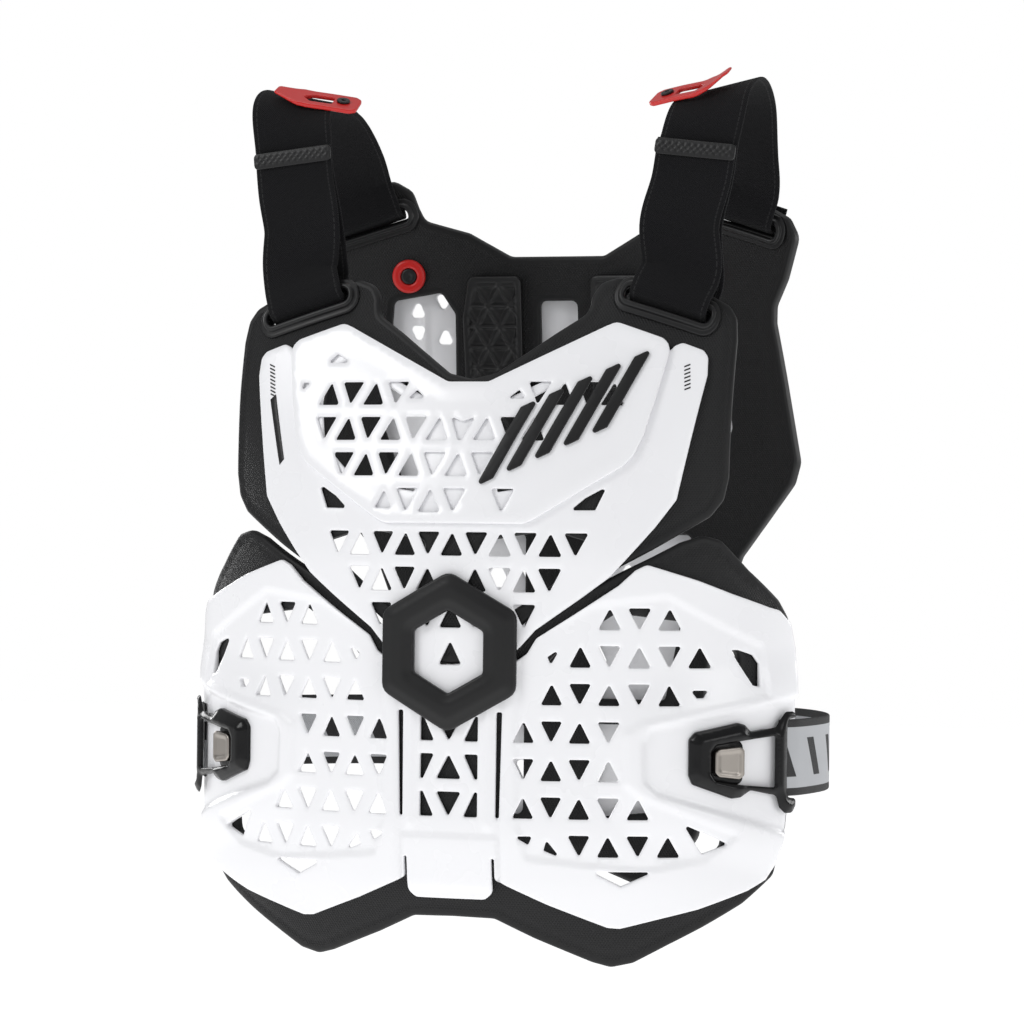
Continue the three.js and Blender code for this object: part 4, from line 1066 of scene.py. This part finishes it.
@dataclass
class LowerPlate:
    """The white lower shell: a perforated field and a clip recess on each side of a tail."""

    row: float = 24.4
    first_row: float = -75.0
    hole: float = 14.0
    tail_half: float = 32.5
    tail_top: float = -118.0

    def column(self, k: int) -> float:
        """Distance of a column of holes from the centre plane, by its arc length."""
        length = 67.4 + 18.0 * k + 0.25 * max(k, 0) ** 2
        return float(GIRTH.half * np.sin(GIRTH.angle(length)))

    def holes(self) -> list[Outline]:
        """Whole perforations by rows, cut ones at the field's border, and the three large ones."""
        outlines = []
        for i, (first, last) in enumerate(((2, 4), (1, 5), (0, 4), (-1, 2), (-1, 2), (-1, 3), (1, 4))):
            base = self.first_row - self.row * i
            for k in range(first, last + 1):
                outlines.append(triangle(self.column(k), base, self.hole, self.hole, (k + i) % 2 == 0))

        def cut(k: int, i: int, corners: Outline) -> Outline:
            """A partial hole, its corners counted from its column and row."""
            base = self.first_row - self.row * i
            return [(self.column(k) + x, base + z) for x, z in corners]

        outlines += [
            cut(0, 1, [(-3.0, 6.5), (5.2, 12.1), (-0.8, 1.4)]),
            cut(5, 2, [(-5.3, 10.2), (5.0, 10.2), (2.5, 5.3), (-2.0, 5.1)]),
            cut(-1, 6, [(-6.3, 13.0), (6.0, 13.0), (3.4, 7.3)]),
            cut(0, 6, [(-2.6, 10.8), (6.3, -0.7), (-4.6, 3.9)])]
        large = [
            [(0.812, -0.292), (0.832, -0.292), (0.868, -0.303), (0.883, -0.322), (0.883, -0.372),
             (0.866, -0.368)],
            [(0.69, -0.665), (0.81, -0.71), (0.74, -0.73)],
            [(0.43, -0.768), (0.61, -0.768), (0.515, -0.8)],
            [(0.147, -0.657), (0.158, -0.657), (0.165, -0.43), (0.148, -0.43)],
        ]
        return both([*outlines, *(sized(outline) for outline in large)])

    def tail(self) -> list[Outline]:
        """Perforations of the tail: a middle column and a cut one at each side."""
        middle, sides = [], []
        for i in range(3):
            base = self.first_row - self.row * (i + 3)
            up = i % 2 == 1
            middle.append(triangle(0, base, self.hole + 3, self.hole + 2, up))
            foot, tip = (base + self.hole + 2, base) if up else (base, base + self.hole + 2)
            sides.append([(10, foot), (19.5, foot), (19.5, tip), (17.5, tip)])
        return [*middle, *both(sides)]

    def relief(self, s: Array, z: Array, edge: Array, hole: Array) -> Array:
        """Frame above the field, ridge round the clip recess and rails along the tail."""
        side = np.abs(s)
        field = at_girth([
            (50, -84), (93, -60), (137, -54), (190, -86), (193, -117), (122, -134), (112, -141), (112, -175),
            (122, -183), (177, -207), (160, -222), (125, -229), (52, -222), (46, -200), (45, -100)])
        recess = [(132, -140), (250, -118), (330, -118), (330, -216), (250, -212), (137, -179), (129, -172),
                  (128, -147)]
        frame = 1.5 * soft_step((polygon_gap(side, z, field) + 1) / 3.2)
        gap = polygon_gap(side, z, recess)
        ridge = 2.8 * soft_step(gap / 3.6) * (1 - soft_step((gap - 6) / 30))
        tail = (side < self.tail_half) & (z < self.tail_top)
        rails = 1.5 * bump_at(side, 26.0, 2.2) * soft_step((self.tail_top - z) / 10)
        rails = rails * soft_step((z + 206) / 4)
        rails = rails + 0.9 * soft_step((-z - 208) / 3) * soft_step((z + 246) / 5)
        return np.where(tail, rails + 0.9, (frame + ridge) * soft_step((side - self.tail_half) / 6))

    def build(self, looks: Looks) -> None:
        """Mould the plate."""
        plate = Moulding(
            "lower_shell", FRONT.point, shell_outline(LOWER_PLATE),
            wrapped([*self.holes(), *self.tail()]), outer=self.relief, corner=5.0, pitch=2.5)
        report(plate.build(), Slot.PLATE, looks["white"], "lower_plate")


@dataclass
class FrontFoam:
    """Black foam behind the plates, with a raised border and windows behind the perforations."""

    outside: float = -2.9
    wall: float = FOAM_WALL
    edge: float = 2.6

    def face(self, s: Array, z: Array, edge: Array, hole: Array) -> Array:
        """The border is level for 4 mm, then a groove 0.9 mm deep runs round it and round each window."""
        return self.outside - 0.9 * bump_at(edge, 7.0, 1.5) - 0.5 * bump_at(hole, 6.5, 1.2)

    def build(self, looks: Looks) -> None:
        """Mould the upper and the lower foam."""
        slot = stadium(*FRONT_SLOT, SLOT_LENGTH, SLOT_HEIGHT, SLOT_TILT)
        chest = [sized(CHEST_FOAM_WINDOW), sized(NECK_FOAM_WINDOW), slot]
        for name, half, windows, hole_corner, pitch, node in (
            ("chest_foam", UPPER_FOAM, chest, 4.4, 2.8, "front_foam_upper"),
            ("lower_foam", LOWER_FOAM, [sized(LOWER_FOAM_WINDOW)], 6.0, 3.2, "front_foam_lower"),
        ):
            foam = Moulding(
                name, FRONT.point, shell_outline(half), wrapped(both(windows)),
                inner=flat_height(self.outside - self.wall), outer=self.face, edge=self.edge, corner=9.0,
                hole_corner=hole_corner, arc_rows=3, pitch=pitch, step=3.0)
            piece = report(foam.build(), Slot.FOAM, looks["foam"], node)


@dataclass
class BackPanel:
    """Back foam with windows, the white shell behind it, ribbed pads and rivets."""

    pitch: float = 24.0
    hole: float = 20.0
    small: float = 12.0
    rib_pitch: float = 17.0
    turns: int = 48

    def shell_holes(self) -> list[Outline]:
        """Rows of triangles where the foam has windows."""
        outlines: list[Outline] = []
        for i, (base, first, last) in enumerate(
                ((0.25, 3, 4), (0.09, 3, 4), (-0.18, 1, 3), (-0.36, 1, 2), (-0.66, 1, 2))):
            for k in range(first, last + 1):
                up = (k + i) % 2 == 0
                outlines.append(triangle(self.pitch * k, base * REACH, self.hole, self.hole, up))
        for x, base, up in ((85, 119, True), (104, 119, False), (104, 138, True), (86, 141, False)):
            outlines.append(triangle(x, base, self.small, self.small + 1, up))
        return both(outlines)

    def foam_face(self, s: Array, z: Array, edge: Array, hole: Array) -> Array:
        """Inner face: a groove round the border and round each window."""
        return 0.9 * bump_at(edge, 8.0, 1.6) + 0.6 * bump_at(hole, 7.0, 1.3)

    def ribs(self, s: Array, z: Array, edge: Array, hole: Array) -> Array:
        """Ribs along three directions at 60 degrees, inside a level frame."""
        height = np.zeros(len(s))
        for angle in (0.0, 60.0, 120.0):
            across = s * sin(radians(angle)) + z * cos(radians(angle))
            gap = np.abs((across / (self.rib_pitch * HEX_ROW) + 0.5) % 1 - 0.5) * self.rib_pitch * HEX_ROW
            height = np.maximum(height, np.exp(-((gap / 1.3) ** 2)))
        frame = 1 - soft_step((edge - 4) / 2)
        return -LAYER_GAP - 4.6 + 3.2 * (1 - np.maximum(height, frame))

    def build(self, looks: Looks) -> None:
        """Mould foam, shell and pads, then turn the rivets."""
        slot = stadium(BACK_SLOT[0], BACK_SLOT[1] + 0.9, SLOT_LENGTH, SLOT_HEIGHT - 1.8, SLOT_TILT)
        windows = both([sized(BACK_OUTER_WINDOW), sized(BACK_LOWER_WINDOW), sized(BACK_WAIST_WINDOW), slot])
        windows.append(sized(BACK_CENTRE_WINDOW))
        foam = Moulding(
            "back_foam_skin", BACK.point, shell_outline(BACK_FOAM), wrapped(windows),
            inner=self.foam_face, outer=flat_height(BACK_FOAM_WALL), edge=2.6, corner=9.0, hole_corner=4.4,
            arc_rows=3, pitch=3.2, step=3.0, inside_out=True)
        piece = report(foam.build(), Slot.FOAM, looks["foam"], "back_foam")
        low = BACK_FOAM_WALL + LAYER_GAP
        field = at_girth([(0, 140), (118, 140), (128, 40), (92, -30), (72, -120), (66, -215), (0, -215)])

        def outside(s: Array, z: Array, edge: Array, hole: Array) -> Array:
            """A field sunk by 1.4 mm, and a rounded spine down the middle."""
            sunk = soft_step((1.0 - polygon_gap(np.abs(s), z, field)) / 5)
            return low + PLATE_WALL + 1.4 * (1 - sunk) + 2.4 * bump_at(np.abs(s), 0, 11.0)

        def inside(s: Array, z: Array, edge: Array, hole: Array) -> Array:
            """A rib stands into each outer window of the foam."""
            rib = bump_at(np.abs(s), 101.0, 2.2) * soft_step((z - 24) / 8) * soft_step((150 - z) / 8)
            return low - 2.2 * rib

        shell = Moulding(
            "back_shell_skin", BACK.point, shell_outline(BACK_SHELL), wrapped(self.shell_holes()),
            inner=inside, outer=outside, pitch=3.0, corner=8.0, hole_corner=2.5, inside_out=True)
        report(shell.build(), Slot.PLATE, looks["white"], "back_shell")
        pad = sized([(0.12, 0.1), (0.31, 0.1), (0.325, 0.46), (0.3, 0.56), (0.12, 0.56)])
        for side, outline in (("right", pad), ("left", mirrored(pad))):
            block = Moulding(
                f"ribbed_pad_{side}", BACK.point, at_girth(outline), inner=self.ribs,
                outer=flat_height(-LAYER_GAP), edge=1.2, pitch=1.3, step=2.0, inside_out=True)
            piece = report(block.build(), Slot.FOAM, looks["plain_foam"], f"back_pad_{side}")
            self.rivet(side, looks)

    def rivet(self, side: str, looks: Looks) -> None:
        """A washer turned about the panel's normal, and the cap in its middle."""
        sign = 1 if side == "right" else -1
        s = GIRTH.length(np.array([sign * 0.505 * GIRTH.half]))
        z = np.array([0.56 * REACH])
        origin = BACK.point(s, z, np.array([-LAYER_GAP]))[0]
        normal = -BACK.normal(s, z)[0]
        across = np.cross(normal, [0.0, 0.0, 1.0])
        across /= np.linalg.norm(across)
        up = np.cross(across, normal)

        def lathe(name: str, profile: Sequence[tuple[float, float]]) -> bpy.types.Object:
            """Turn a profile of radius and height pairs, closed on the axis at both ends."""
            turns = np.linspace(0, 2 * pi, self.turns + 1)[:-1]
            rows = np.array(profile)
            ring = np.cos(turns)[:, None] * across + np.sin(turns)[:, None] * up
            points = origin + rows[:, 0, None, None] * ring[None] + rows[:, 1, None, None] * normal
            flat, faces = swept(points, len(rows), self.turns)
            return make_mesh(name, to_part(flat), faces, np.zeros((len(flat), 2)))

        washer = [
            (5.9, 0.1), (12, 0.1), (12, 1.6), (11.4, 2.6), (10.2, 3.1), (7.4, 3.1), (6.3, 2.6), (5.9, 1.8),
            (5.9, 0.12)]
        report(lathe(f"rivet_washer_{side}", washer), Slot.RED, looks["red"], f"back_rivet_{side}")
        cap = [(0.05, 0.1), (5.6, 0.1), (5.6, 2.0), (5.0, 2.7), (3.0, 2.9), (2.2, 2.4), (0.05, 2.3)]
        report(lathe(f"rivet_cap_{side}", cap), Slot.RUBBER, looks["rubber"])


def ring_corners(x: float, z: float, radius: float, count: int) -> Points:
    """Corners of a regular polygon that stands on a side."""
    angles = pi / count + 2 * pi * np.arange(count) / count
    return list(zip((x + radius * np.cos(angles)).tolist(), (z + radius * np.sin(angles)).tolist()))


@dataclass
class Trim:
    """Badge, graphic bars and the lips round the strap slots."""

    badge_radius: float = 52.0
    badge_bore: float = 27.0
    badge_z: float = -0.302 * REACH

    def build(self, looks: Looks) -> None:
        """Mould the trim."""

        def crest(s: Array, z: Array, edge: Array, hole: Array) -> Array:
            """A broad crown with a shallow groove in the middle of the band."""
            band = np.minimum(edge, hole)
            return LAYER_GAP + 5.4 + 1.2 * soft_step((band - 2) / 6)

        badge = Moulding(
            "badge_ring", FRONT.point, ring_corners(0, self.badge_z, self.badge_radius, 6),
            [ring_corners(0, self.badge_z, self.badge_bore, 6)], inner=flat_height(LAYER_GAP), outer=crest,
            edge=1.8, corner=9.0, hole_corner=3.0, arc_rows=4, pitch=2.2, step=2.5)
        report(badge.build(), Slot.RUBBER, looks["rubber"], "centre_badge")
        low = LAYER_GAP + PLATE_WALL + LAYER_GAP
        for i in range(5):
            x = 0.07 * GIRTH.half + 17.5 * i
            z = (0.05 + 0.028 * i) * REACH
            lean, height = 0.11 * GIRTH.half, 0.19 * REACH
            bar = [(x, z), (x + 11, z + 5.5), (x + 11 + lean, z + height), (x + lean, z + height - 5.5)]
            block = Moulding(
                f"graphic_bar_skin_{i + 1}", FRONT.point, at_girth(bar), inner=flat_height(low),
                outer=flat_height(low + 1.6), edge=0.6, corner=1.6, arc_rows=3, pitch=3.0, step=3.0)
            report(block.build(), Slot.GRAPHIC, looks["rubber"], f"graphic_bar_{i + 1}")
        self.lips(looks)

    def lips(self, looks: Looks) -> None:
        """The lip's profile: a low flange, a groove, and a round bead beside the slot."""
        turn = np.linspace(pi, 0, 9)
        bead = [(2.1 + 2.0 * cos(a), 2.2 + 2.0 * sin(a)) for a in turn]
        profile = [(0.1, 0.1), *bead, (4.3, 1.5), (5.0, 1.2), (6.2, 1.2), (7.0, 1.0), (7.5, 0.5), (7.5, 0.1)]
        for panel, spot, base, sign, label in (
            (FRONT, FRONT_SLOT, -2.9 + LAYER_GAP, 1, "front"),
            (BACK, BACK_SLOT, -LAYER_GAP, -1, "back"),
        ):
            for side in ("right", "left"):
                outline = stadium(*spot, SLOT_LENGTH, SLOT_HEIGHT, SLOT_TILT)
                if side == "left":
                    outline = mirrored(outline)
                loop = [(float(GIRTH.length(x)), z) for x, z in outline]
                raised = [(out, base + sign * proud) for out, proud in profile[::sign]]
                lip = Lip(f"slot_lip_{label}_{side}", panel, loop, raised, SLOT_HEIGHT / 2)
                report(lip.build(), Slot.RUBBER, looks["rubber"], f"{label}_slot_ring_{side}")


def tilted(degrees: float) -> Array:
    """Direction across a strap whose outer edge is turned up by an angle."""
    return np.array([cos(radians(degrees)), 0.0, sin(radians(degrees))])


@dataclass
class ShoulderStraps:
    """Each strap: up from the front slot, over the shoulder, through the back slot and folded up."""

    width: float = 54.0
    front_run: tuple = ((0.075, 0.73, 0.66, 12), (0.06, 0.56, 0.645, 8), (0.03, 0.36, 0.615, -4))
    over: tuple = (
        (0.085, 0.36, 0.615, -4), (0.09, 0.56, 0.645, 8), (0.1, 0.75, 0.665, 12), (0.17, 0.93, 0.69, 14),
        (0.36, 1.0, 0.7, 12), (0.6, 0.95, 0.69, 6), (0.8, 0.78, 0.67, -6))

    @staticmethod
    def slot_turn(panel: Panel, spot: tuple[float, float], wall: float, rows: Outline) -> list[Key]:
        """Keys round the bar above a slot, from out and up distances."""
        s = GIRTH.length(np.array([spot[0]]))
        z = np.array([spot[1]])
        origin = panel.point(s, z, np.array([-wall / 2]))[0]
        outward = panel.normal(s, z)[0]
        across = tilted(SLOT_TILT)
        across = across - outward * (across @ outward)
        across /= np.linalg.norm(across)
        up = np.cross(across, outward) * (-1 if panel.facing < 0 else 1)
        return [Key(origin + outward * out + up * rise, across) for out, rise in rows]

    def run_key(self, row: tuple[float, float, float, float]) -> Key:
        """Key between the two slots, from shares of the way back, the rise and the half width."""
        back, rise, spread, tilt = row
        start = FRONT.surface(GIRTH.length(np.array([FRONT_SLOT[0]])), np.array([FRONT_SLOT[1]]))[0]
        end = BACK.surface(GIRTH.length(np.array([BACK_SLOT[0]])), np.array([BACK_SLOT[1]]))[0]
        place = np.array([
            spread * GIRTH.half, start[1] + (end[1] - start[1]) * back, start[2] + (RISE - start[2]) * rise])
        return Key(place, tilted(tilt))

    def keys(self) -> list[Key]:
        """All keys of the right strap."""
        clear = LAYER_GAP + WEBBING_WALL / 2
        half = FOAM_WALL / 2 + 4.0 + clear + 0.8
        behind = FOAM_WALL / 2 + clear
        front = [
            (half + 1, 26), (half + 0.6, 10), (half - 1, 2.5), (2, -0.8), (-3, -0.8),
            (-behind - 1.4, 3), (-behind - 2, 12), (-behind - 1.2, 26)]
        inner = BACK_FOAM_WALL / 2 + 4.0 + clear + 1.1
        outer = BACK_FOAM_WALL / 2 + clear
        back = [
            (-inner - 1, 26), (-inner - 0.9, 10), (-inner + 0.4, 2.5), (-2, -0.8), (3.6, -1.6),
            (outer + 1.8, 2), (outer + 2.8, 12), (outer + 2.4, 28)]
        wall = FOAM_WALL + 2 * (PLATE_WALL + LAYER_GAP)
        return [
            *map(self.run_key, self.front_run),
            *self.slot_turn(FRONT, FRONT_SLOT, wall, front),
            *map(self.run_key, self.over),
            *self.slot_turn(BACK, BACK_SLOT, -BACK_FOAM_WALL, back),
        ]

    def build(self, looks: Looks) -> None:
        """Sweep the straps, then add the ribbed tabs and the red plates."""
        route = Route(self.keys())
        for side, mirror in (("right", False), ("left", True)):
            last = route.last - STRAP_END
            strap = Ribbon(f"shoulder_webbing_{side}", route, self.width, WEBBING_WALL, 260, last)
            piece = report(strap.build(mirror), Slot.STRAP, looks["pile"], f"shoulder_strap_{side}")
            route.length(last, 400)
            self.tab(side, mirror, looks)
            self.plate(route, side, mirror, looks)

    def tab(self, side: str, mirror: bool, looks: Looks) -> None:
        """A rubber tab on the folded end, with a raised slanted lattice on its face."""
        lift = WEBBING_WALL / 2 + LAYER_GAP + 0.8
        first, second = (self.run_key(row) for row in ((0.075, 0.728, 0.66, 12), (0.069, 0.655, 0.654, 10)))
        tangent = second.at - first.at
        size = float(np.linalg.norm(tangent))
        tangent /= size
        across = first.across - tangent * (first.across @ tangent)
        across /= np.linalg.norm(across)
        outward = np.cross(tangent, across)
        outward = outward * (-1 if outward[1] > 0 else 1)
        origin = (first.at + second.at) / 2 + outward * lift
        flip = np.array([-1.0, 1.0, 1.0]) if mirror else np.ones(3)

        def place(s: Array, z: Array, proud: Array) -> Array:
            """Flat frame of the tab: across, up and outward."""
            return (origin + s[:, None] * across - z[:, None] * tangent + proud[:, None] * outward) * flip

        def lattice(s: Array, z: Array, edge: Array, hole: Array) -> Array:
            """Two families of slanted ribs 4 mm apart, level near the border."""
            waves = np.maximum(np.sin((s + z) * 2 * pi / 4.4), np.sin((s - z) * 2 * pi / 4.4))
            return 0.8 + 0.45 * soft_step(waves - 0.1) * soft_step((edge - 1.5) / 1.2)

        half, rise = self.width / 2 + 0.5, size / 2
        outline = [(-half, -rise), (half, -rise), (half, rise), (-half, rise)]
        block = Moulding(
            f"strap_tab_rubber_{side}", place, outline, inner=flat_height(-0.8), outer=lattice,
            edge=0.6, corner=3.0, arc_rows=3, pitch=0.9, step=1.5, inside_out=mirror)
        report(block.build(), Slot.RUBBER, looks["rubber"], f"strap_tab_{side}")

    def plate(self, route: Route, side: str, mirror: bool, looks: Looks) -> None:
        """The red plate across the strap: an S-shaped profile with a slot and a screw."""
        where = len(self.front_run) + 8 + 3.3
        spot, tangent, across, thick = (row[0] for row in route.sample(np.array([where])))
        thick = thick * (1 if thick[2] > 0 else -1)
        flip = np.array([-1.0, 1.0, 1.0]) if mirror else np.ones(3)
        rise = 4.0 if mirror else 9.0
        curve = np.array([(-1, 0), (-0.75, 0.02), (-0.3, 0.06), (0.25, 0.04), (0.6, 0.35), (1, 1)])

        def place(s: Array, z: Array, proud: Array) -> Array:
            """Follow the S-shaped profile across the strap."""
            shape, blur = (np.interp(s / 30.0 + shift, *curve.T) * rise for shift in (0.55, 0.65))
            level = 2.7 + (shape + blur) / 2 + proud
            return (spot + s[:, None] * across - z[:, None] * tangent + level[:, None] * thick) * flip

        outline = [(-45, -9), (-41, -13), (-4, -13), (13, -7), (14, 5), (-4, 13), (-41, 13), (-45, 9)]
        slot = [(-27, -6), (-12, -6), (-6, 0), (-12, 6), (-27, 6)]
        block = Moulding(
            f"red_plate_{side}", place, outline, [slot], inner=flat_height(0.0),
            outer=lambda s, z, edge, hole: 3.0 - 1.4 * soft_step((s + 12) / 26), edge=0.9, corner=3.0,
            hole_corner=1.5, arc_rows=3, pitch=1.6, step=2.0, inside_out=not mirror)
        report(block.build(), Slot.RED, looks["red"], f"shoulder_plate_{side}")
        screw = Moulding(
            f"plate_screw_{side}", place, ring_corners(-34, 0, 4.6, 12), [ring_corners(-34, 0, 1.6, 6)],
            inner=flat_height(3.02), outer=flat_height(4.8), edge=0.7, corner=1.0, hole_corner=0.2,
            arc_rows=3, pitch=1.2, step=1.0, inside_out=not mirror)
        report(screw.build(), Slot.RUBBER, looks["rubber"])


@dataclass
class SideFastenings:
    """Hook buckles with their metal buttons, and the side straps that run to the back."""

    length: float = 80.0
    height: float = 66.0
    wall: float = 8.0
    rise: float = -0.527 * REACH
    strap_width: float = 50.0

    @property
    def start(self) -> float:
        """Arc length at the buckle's inner end."""
        return float(GIRTH.length(0.7 * GIRTH.half))

    def spread(self, outline: Outline) -> Points:
        """Turn shares of the buckle's length and height into arc length and z."""
        return [(self.start + a * self.length, self.rise + b * self.height) for a, b in outline]

    def build(self, looks: Looks) -> None:
        """Mould buckles and buttons, sweep the straps."""
        for side, sign in (("right", 1), ("left", -1)):
            self.buckle(side, sign, looks)
            self.strap(side, sign, looks)

    def buckle(self, side: str, sign: int, looks: Looks) -> None:
        """The body, whose ears bridge the strap, and a tray and a button in its window's inner end."""

        def sided(shares: Outline) -> Points:
            """Outline on the buckle's own side."""
            placed = self.spread(shares)
            return placed if sign > 0 else mirrored(placed)

        def share(s: Array) -> Array:
            """How far along the buckle a point lies."""
            return (np.abs(s) - self.start) / self.length

        def under(s: Array, z: Array, edge: Array, hole: Array) -> Array:
            """Flat on the plate, raised under the ears."""
            return LAYER_GAP + 4.6 * soft_step((share(s) - 0.64) / 0.06)

        def over(s: Array, z: Array, edge: Array, hole: Array) -> Array:
            """Chamfered body that is highest beside the seat and low towards the arms."""
            chamfer = np.minimum(edge, 5.6) * 0.75 - 1.5 * (1 - soft_step(hole / 2.4))
            arms = soft_step((share(s) - 0.44) / 0.1)
            return LAYER_GAP + self.wall - 3.6 + chamfer * (1 - 0.35 * arms) + 1.2 * arms

        body = Moulding(
            f"hook_buckle_body_{side}", FRONT.point, sided(BUCKLE_BODY), [sided(BUCKLE_WINDOW)],
            inner=under, outer=over, edge=1.1, corner=3.0, hole_corner=1.4, arc_rows=3, pitch=1.6, step=1.6)
        report(body.build(), Slot.BUCKLE, looks["buckle"], f"hook_buckle_{side}")
        tray = Moulding(
            f"buckle_tray_{side}", FRONT.point, sided(BUCKLE_TRAY), inner=flat_height(LAYER_GAP),
            outer=flat_height(LAYER_GAP + 1.6), edge=0.4, pitch=3.0, step=2.0)
        report(tray.build(), Slot.BUCKLE, looks["buckle"], f"hook_buckle_{side}")
        button = Moulding(
            f"buckle_button_{side}", FRONT.point, sided(BUCKLE_BUTTON), inner=flat_height(LAYER_GAP + 1.8),
            outer=lambda s, z, edge, hole: LAYER_GAP + self.wall - 0.4 - 0.7 * soft_step((edge - 2.5) / 1.0),
            edge=1.0, corner=2.2, arc_rows=3, pitch=1.2, step=1.2)
        report(button.build(), Slot.BUTTON, looks["nickel"], f"hook_button_{side}")

    def strap(self, side: str, sign: int, looks: Looks) -> None:
        """Webbing from under the ears, round the side and onto the back shell."""
        under = LAYER_GAP + WEBBING_WALL / 2 + 0.1
        over = BACK_FOAM_WALL + PLATE_WALL + 3 * LAYER_GAP + WEBBING_WALL / 2
        first = self.start + 0.82 * self.length
        up = np.array([0.0, 0.0, 1.0])
        z = np.full(3, self.rise)
        near = FRONT.point(first + np.array([0, 10, 20]), z, under + np.array([0, 0, 0.3]))
        spots = GIRTH.length(np.array([0.5, 0.4, 0.3]) * GIRTH.half)
        far = BACK.point(spots, z, np.array([over + 1, over, over]))
        side_run = ((1.015, 0.56), (0.985, 0.7), (0.88, 0.86), (0.7, 0.98))
        middle = [np.array([a * GIRTH.half, d * TORSO, self.rise]) for a, d in side_run]
        route = Route([Key(point, up) for point in [*near, *middle, *far]])
        ribbon = Ribbon(f"side_webbing_{side}", route, self.strap_width, WEBBING_WALL, 160)
        piece = report(ribbon.build(sign < 0), Slot.WEBBING, looks["webbing"], f"side_strap_{side}")
        route.length(route.last, 300)


class Studio:
    """Camera, soft lights, white surroundings and a pale floor."""

    yaw = radians(17.2)
    roll = radians(0.62)
    place = (0.711, -2.290, -0.284)
    focal_pixels = 3528.0
    picture_pixels = 1024.0
    sensor = 36.0
    middle = (0, 0, -0.3)

    def camera(self) -> None:
        """Camera at the photograph's angle, its axes worked out from yaw and roll."""
        data = bpy.data.cameras.new("camera")
        data.sensor_width = self.sensor
        data.lens = self.focal_pixels / self.picture_pixels * self.sensor
        data.clip_end = 50.0
        camera = bpy.data.objects.new("camera", data)
        level = Vector((cos(self.yaw), sin(self.yaw), 0))
        right = level * cos(self.roll) + Vector((0, 0, sin(self.roll)))
        up = Vector((0, 0, cos(self.roll))) - level * sin(self.roll)
        away = right.cross(up)
        turn = Matrix((right, up, away)).transposed().to_4x4()
        camera.matrix_world = Matrix.Translation(self.place) @ turn
        bpy.context.scene.collection.objects.link(camera)
        bpy.context.scene.camera = camera

    def lamp(self, name: str, place: tuple, size: float, power: float) -> None:
        """A square area light that faces the middle of the part."""
        data = bpy.data.lights.new(name, "AREA")
        data.size = size
        data.energy = power
        lamp = bpy.data.objects.new(name, data)
        way = Vector(self.middle) - Vector(place)
        lamp.matrix_world = Matrix.Translation(place) @ way.to_track_quat("-Z", "Y").to_matrix().to_4x4()
        bpy.context.scene.collection.objects.link(lamp)

    def build(self) -> None:
        """Light the part and lay the floor."""
        scene = bpy.context.scene
        scene.view_settings.view_transform = "Standard"
        self.lamp("key", (-1.7, -2.1, 1.5), 1.1, 27)
        self.lamp("fill", (2.3, -1.5, 0.3), 1.0, 9)
        self.lamp("top", (0, 0.2, 2.2), 1.4, 12)
        self.lamp("rim_left", (-2.0, 1.2, 0.2), 0.8, 12)
        self.lamp("rim_right", (2.0, 1.4, 0.2), 0.8, 12)
        world = scene.world or bpy.data.worlds.new("surroundings")
        scene.world = world
        world.use_nodes = True
        tree = world.node_tree
        tree.nodes.clear()
        seen = put(tree, "Background", {"Strength": 1.0, "Color": (1, 1, 1, 1)})
        light = put(tree, "Background", {"Strength": 0.4, "Color": (0.98, 0.99, 1.0, 1)})
        rays = put(tree, "LightPath", {}).outputs["Is Camera Ray"]
        mix = put(tree, "MixShader", {0: rays, 1: light.outputs[0], 2: seen.outputs[0]})
        put(tree, "OutputWorld", {"Surface": mix.outputs[0]})
        size, height = 12.0, -1.15
        corners = np.array([(x * size, y * size, height) for x, y in ((-1, -1), (1, -1), (1, 1), (-1, 1))])
        floor = make_mesh("floor", corners, [np.array([[0, 1, 2, 3]])], corners[:, :2])
        paper = bpy.data.materials.new("paper")
        paper.use_nodes = True
        shader = paper.node_tree.nodes["Principled BSDF"]
        shader.inputs["Base Color"].default_value = (0.9, 0.9, 0.9, 1)
        shader.inputs["Roughness"].default_value = 0.9
        shader.inputs["Emission Color"].default_value = (1, 1, 1, 1)
        shader.inputs["Emission Strength"].default_value = 0.7
        floor.data.materials.append(paper)


def main() -> None:
    """Load the frame, then build the studio and each sub-assembly in order."""
    logging.basicConfig(level=logging.INFO, format="%(message)s")
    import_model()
    studio = Studio()
    studio.camera()
    looks = wardrobe()
    for assembly in (ChestPlates, LowerPlate, FrontFoam, BackPanel, Trim, ShoulderStraps, SideFastenings):
        assembly().build(looks)
    studio.build()


if __name__ == "__main__":
    main()
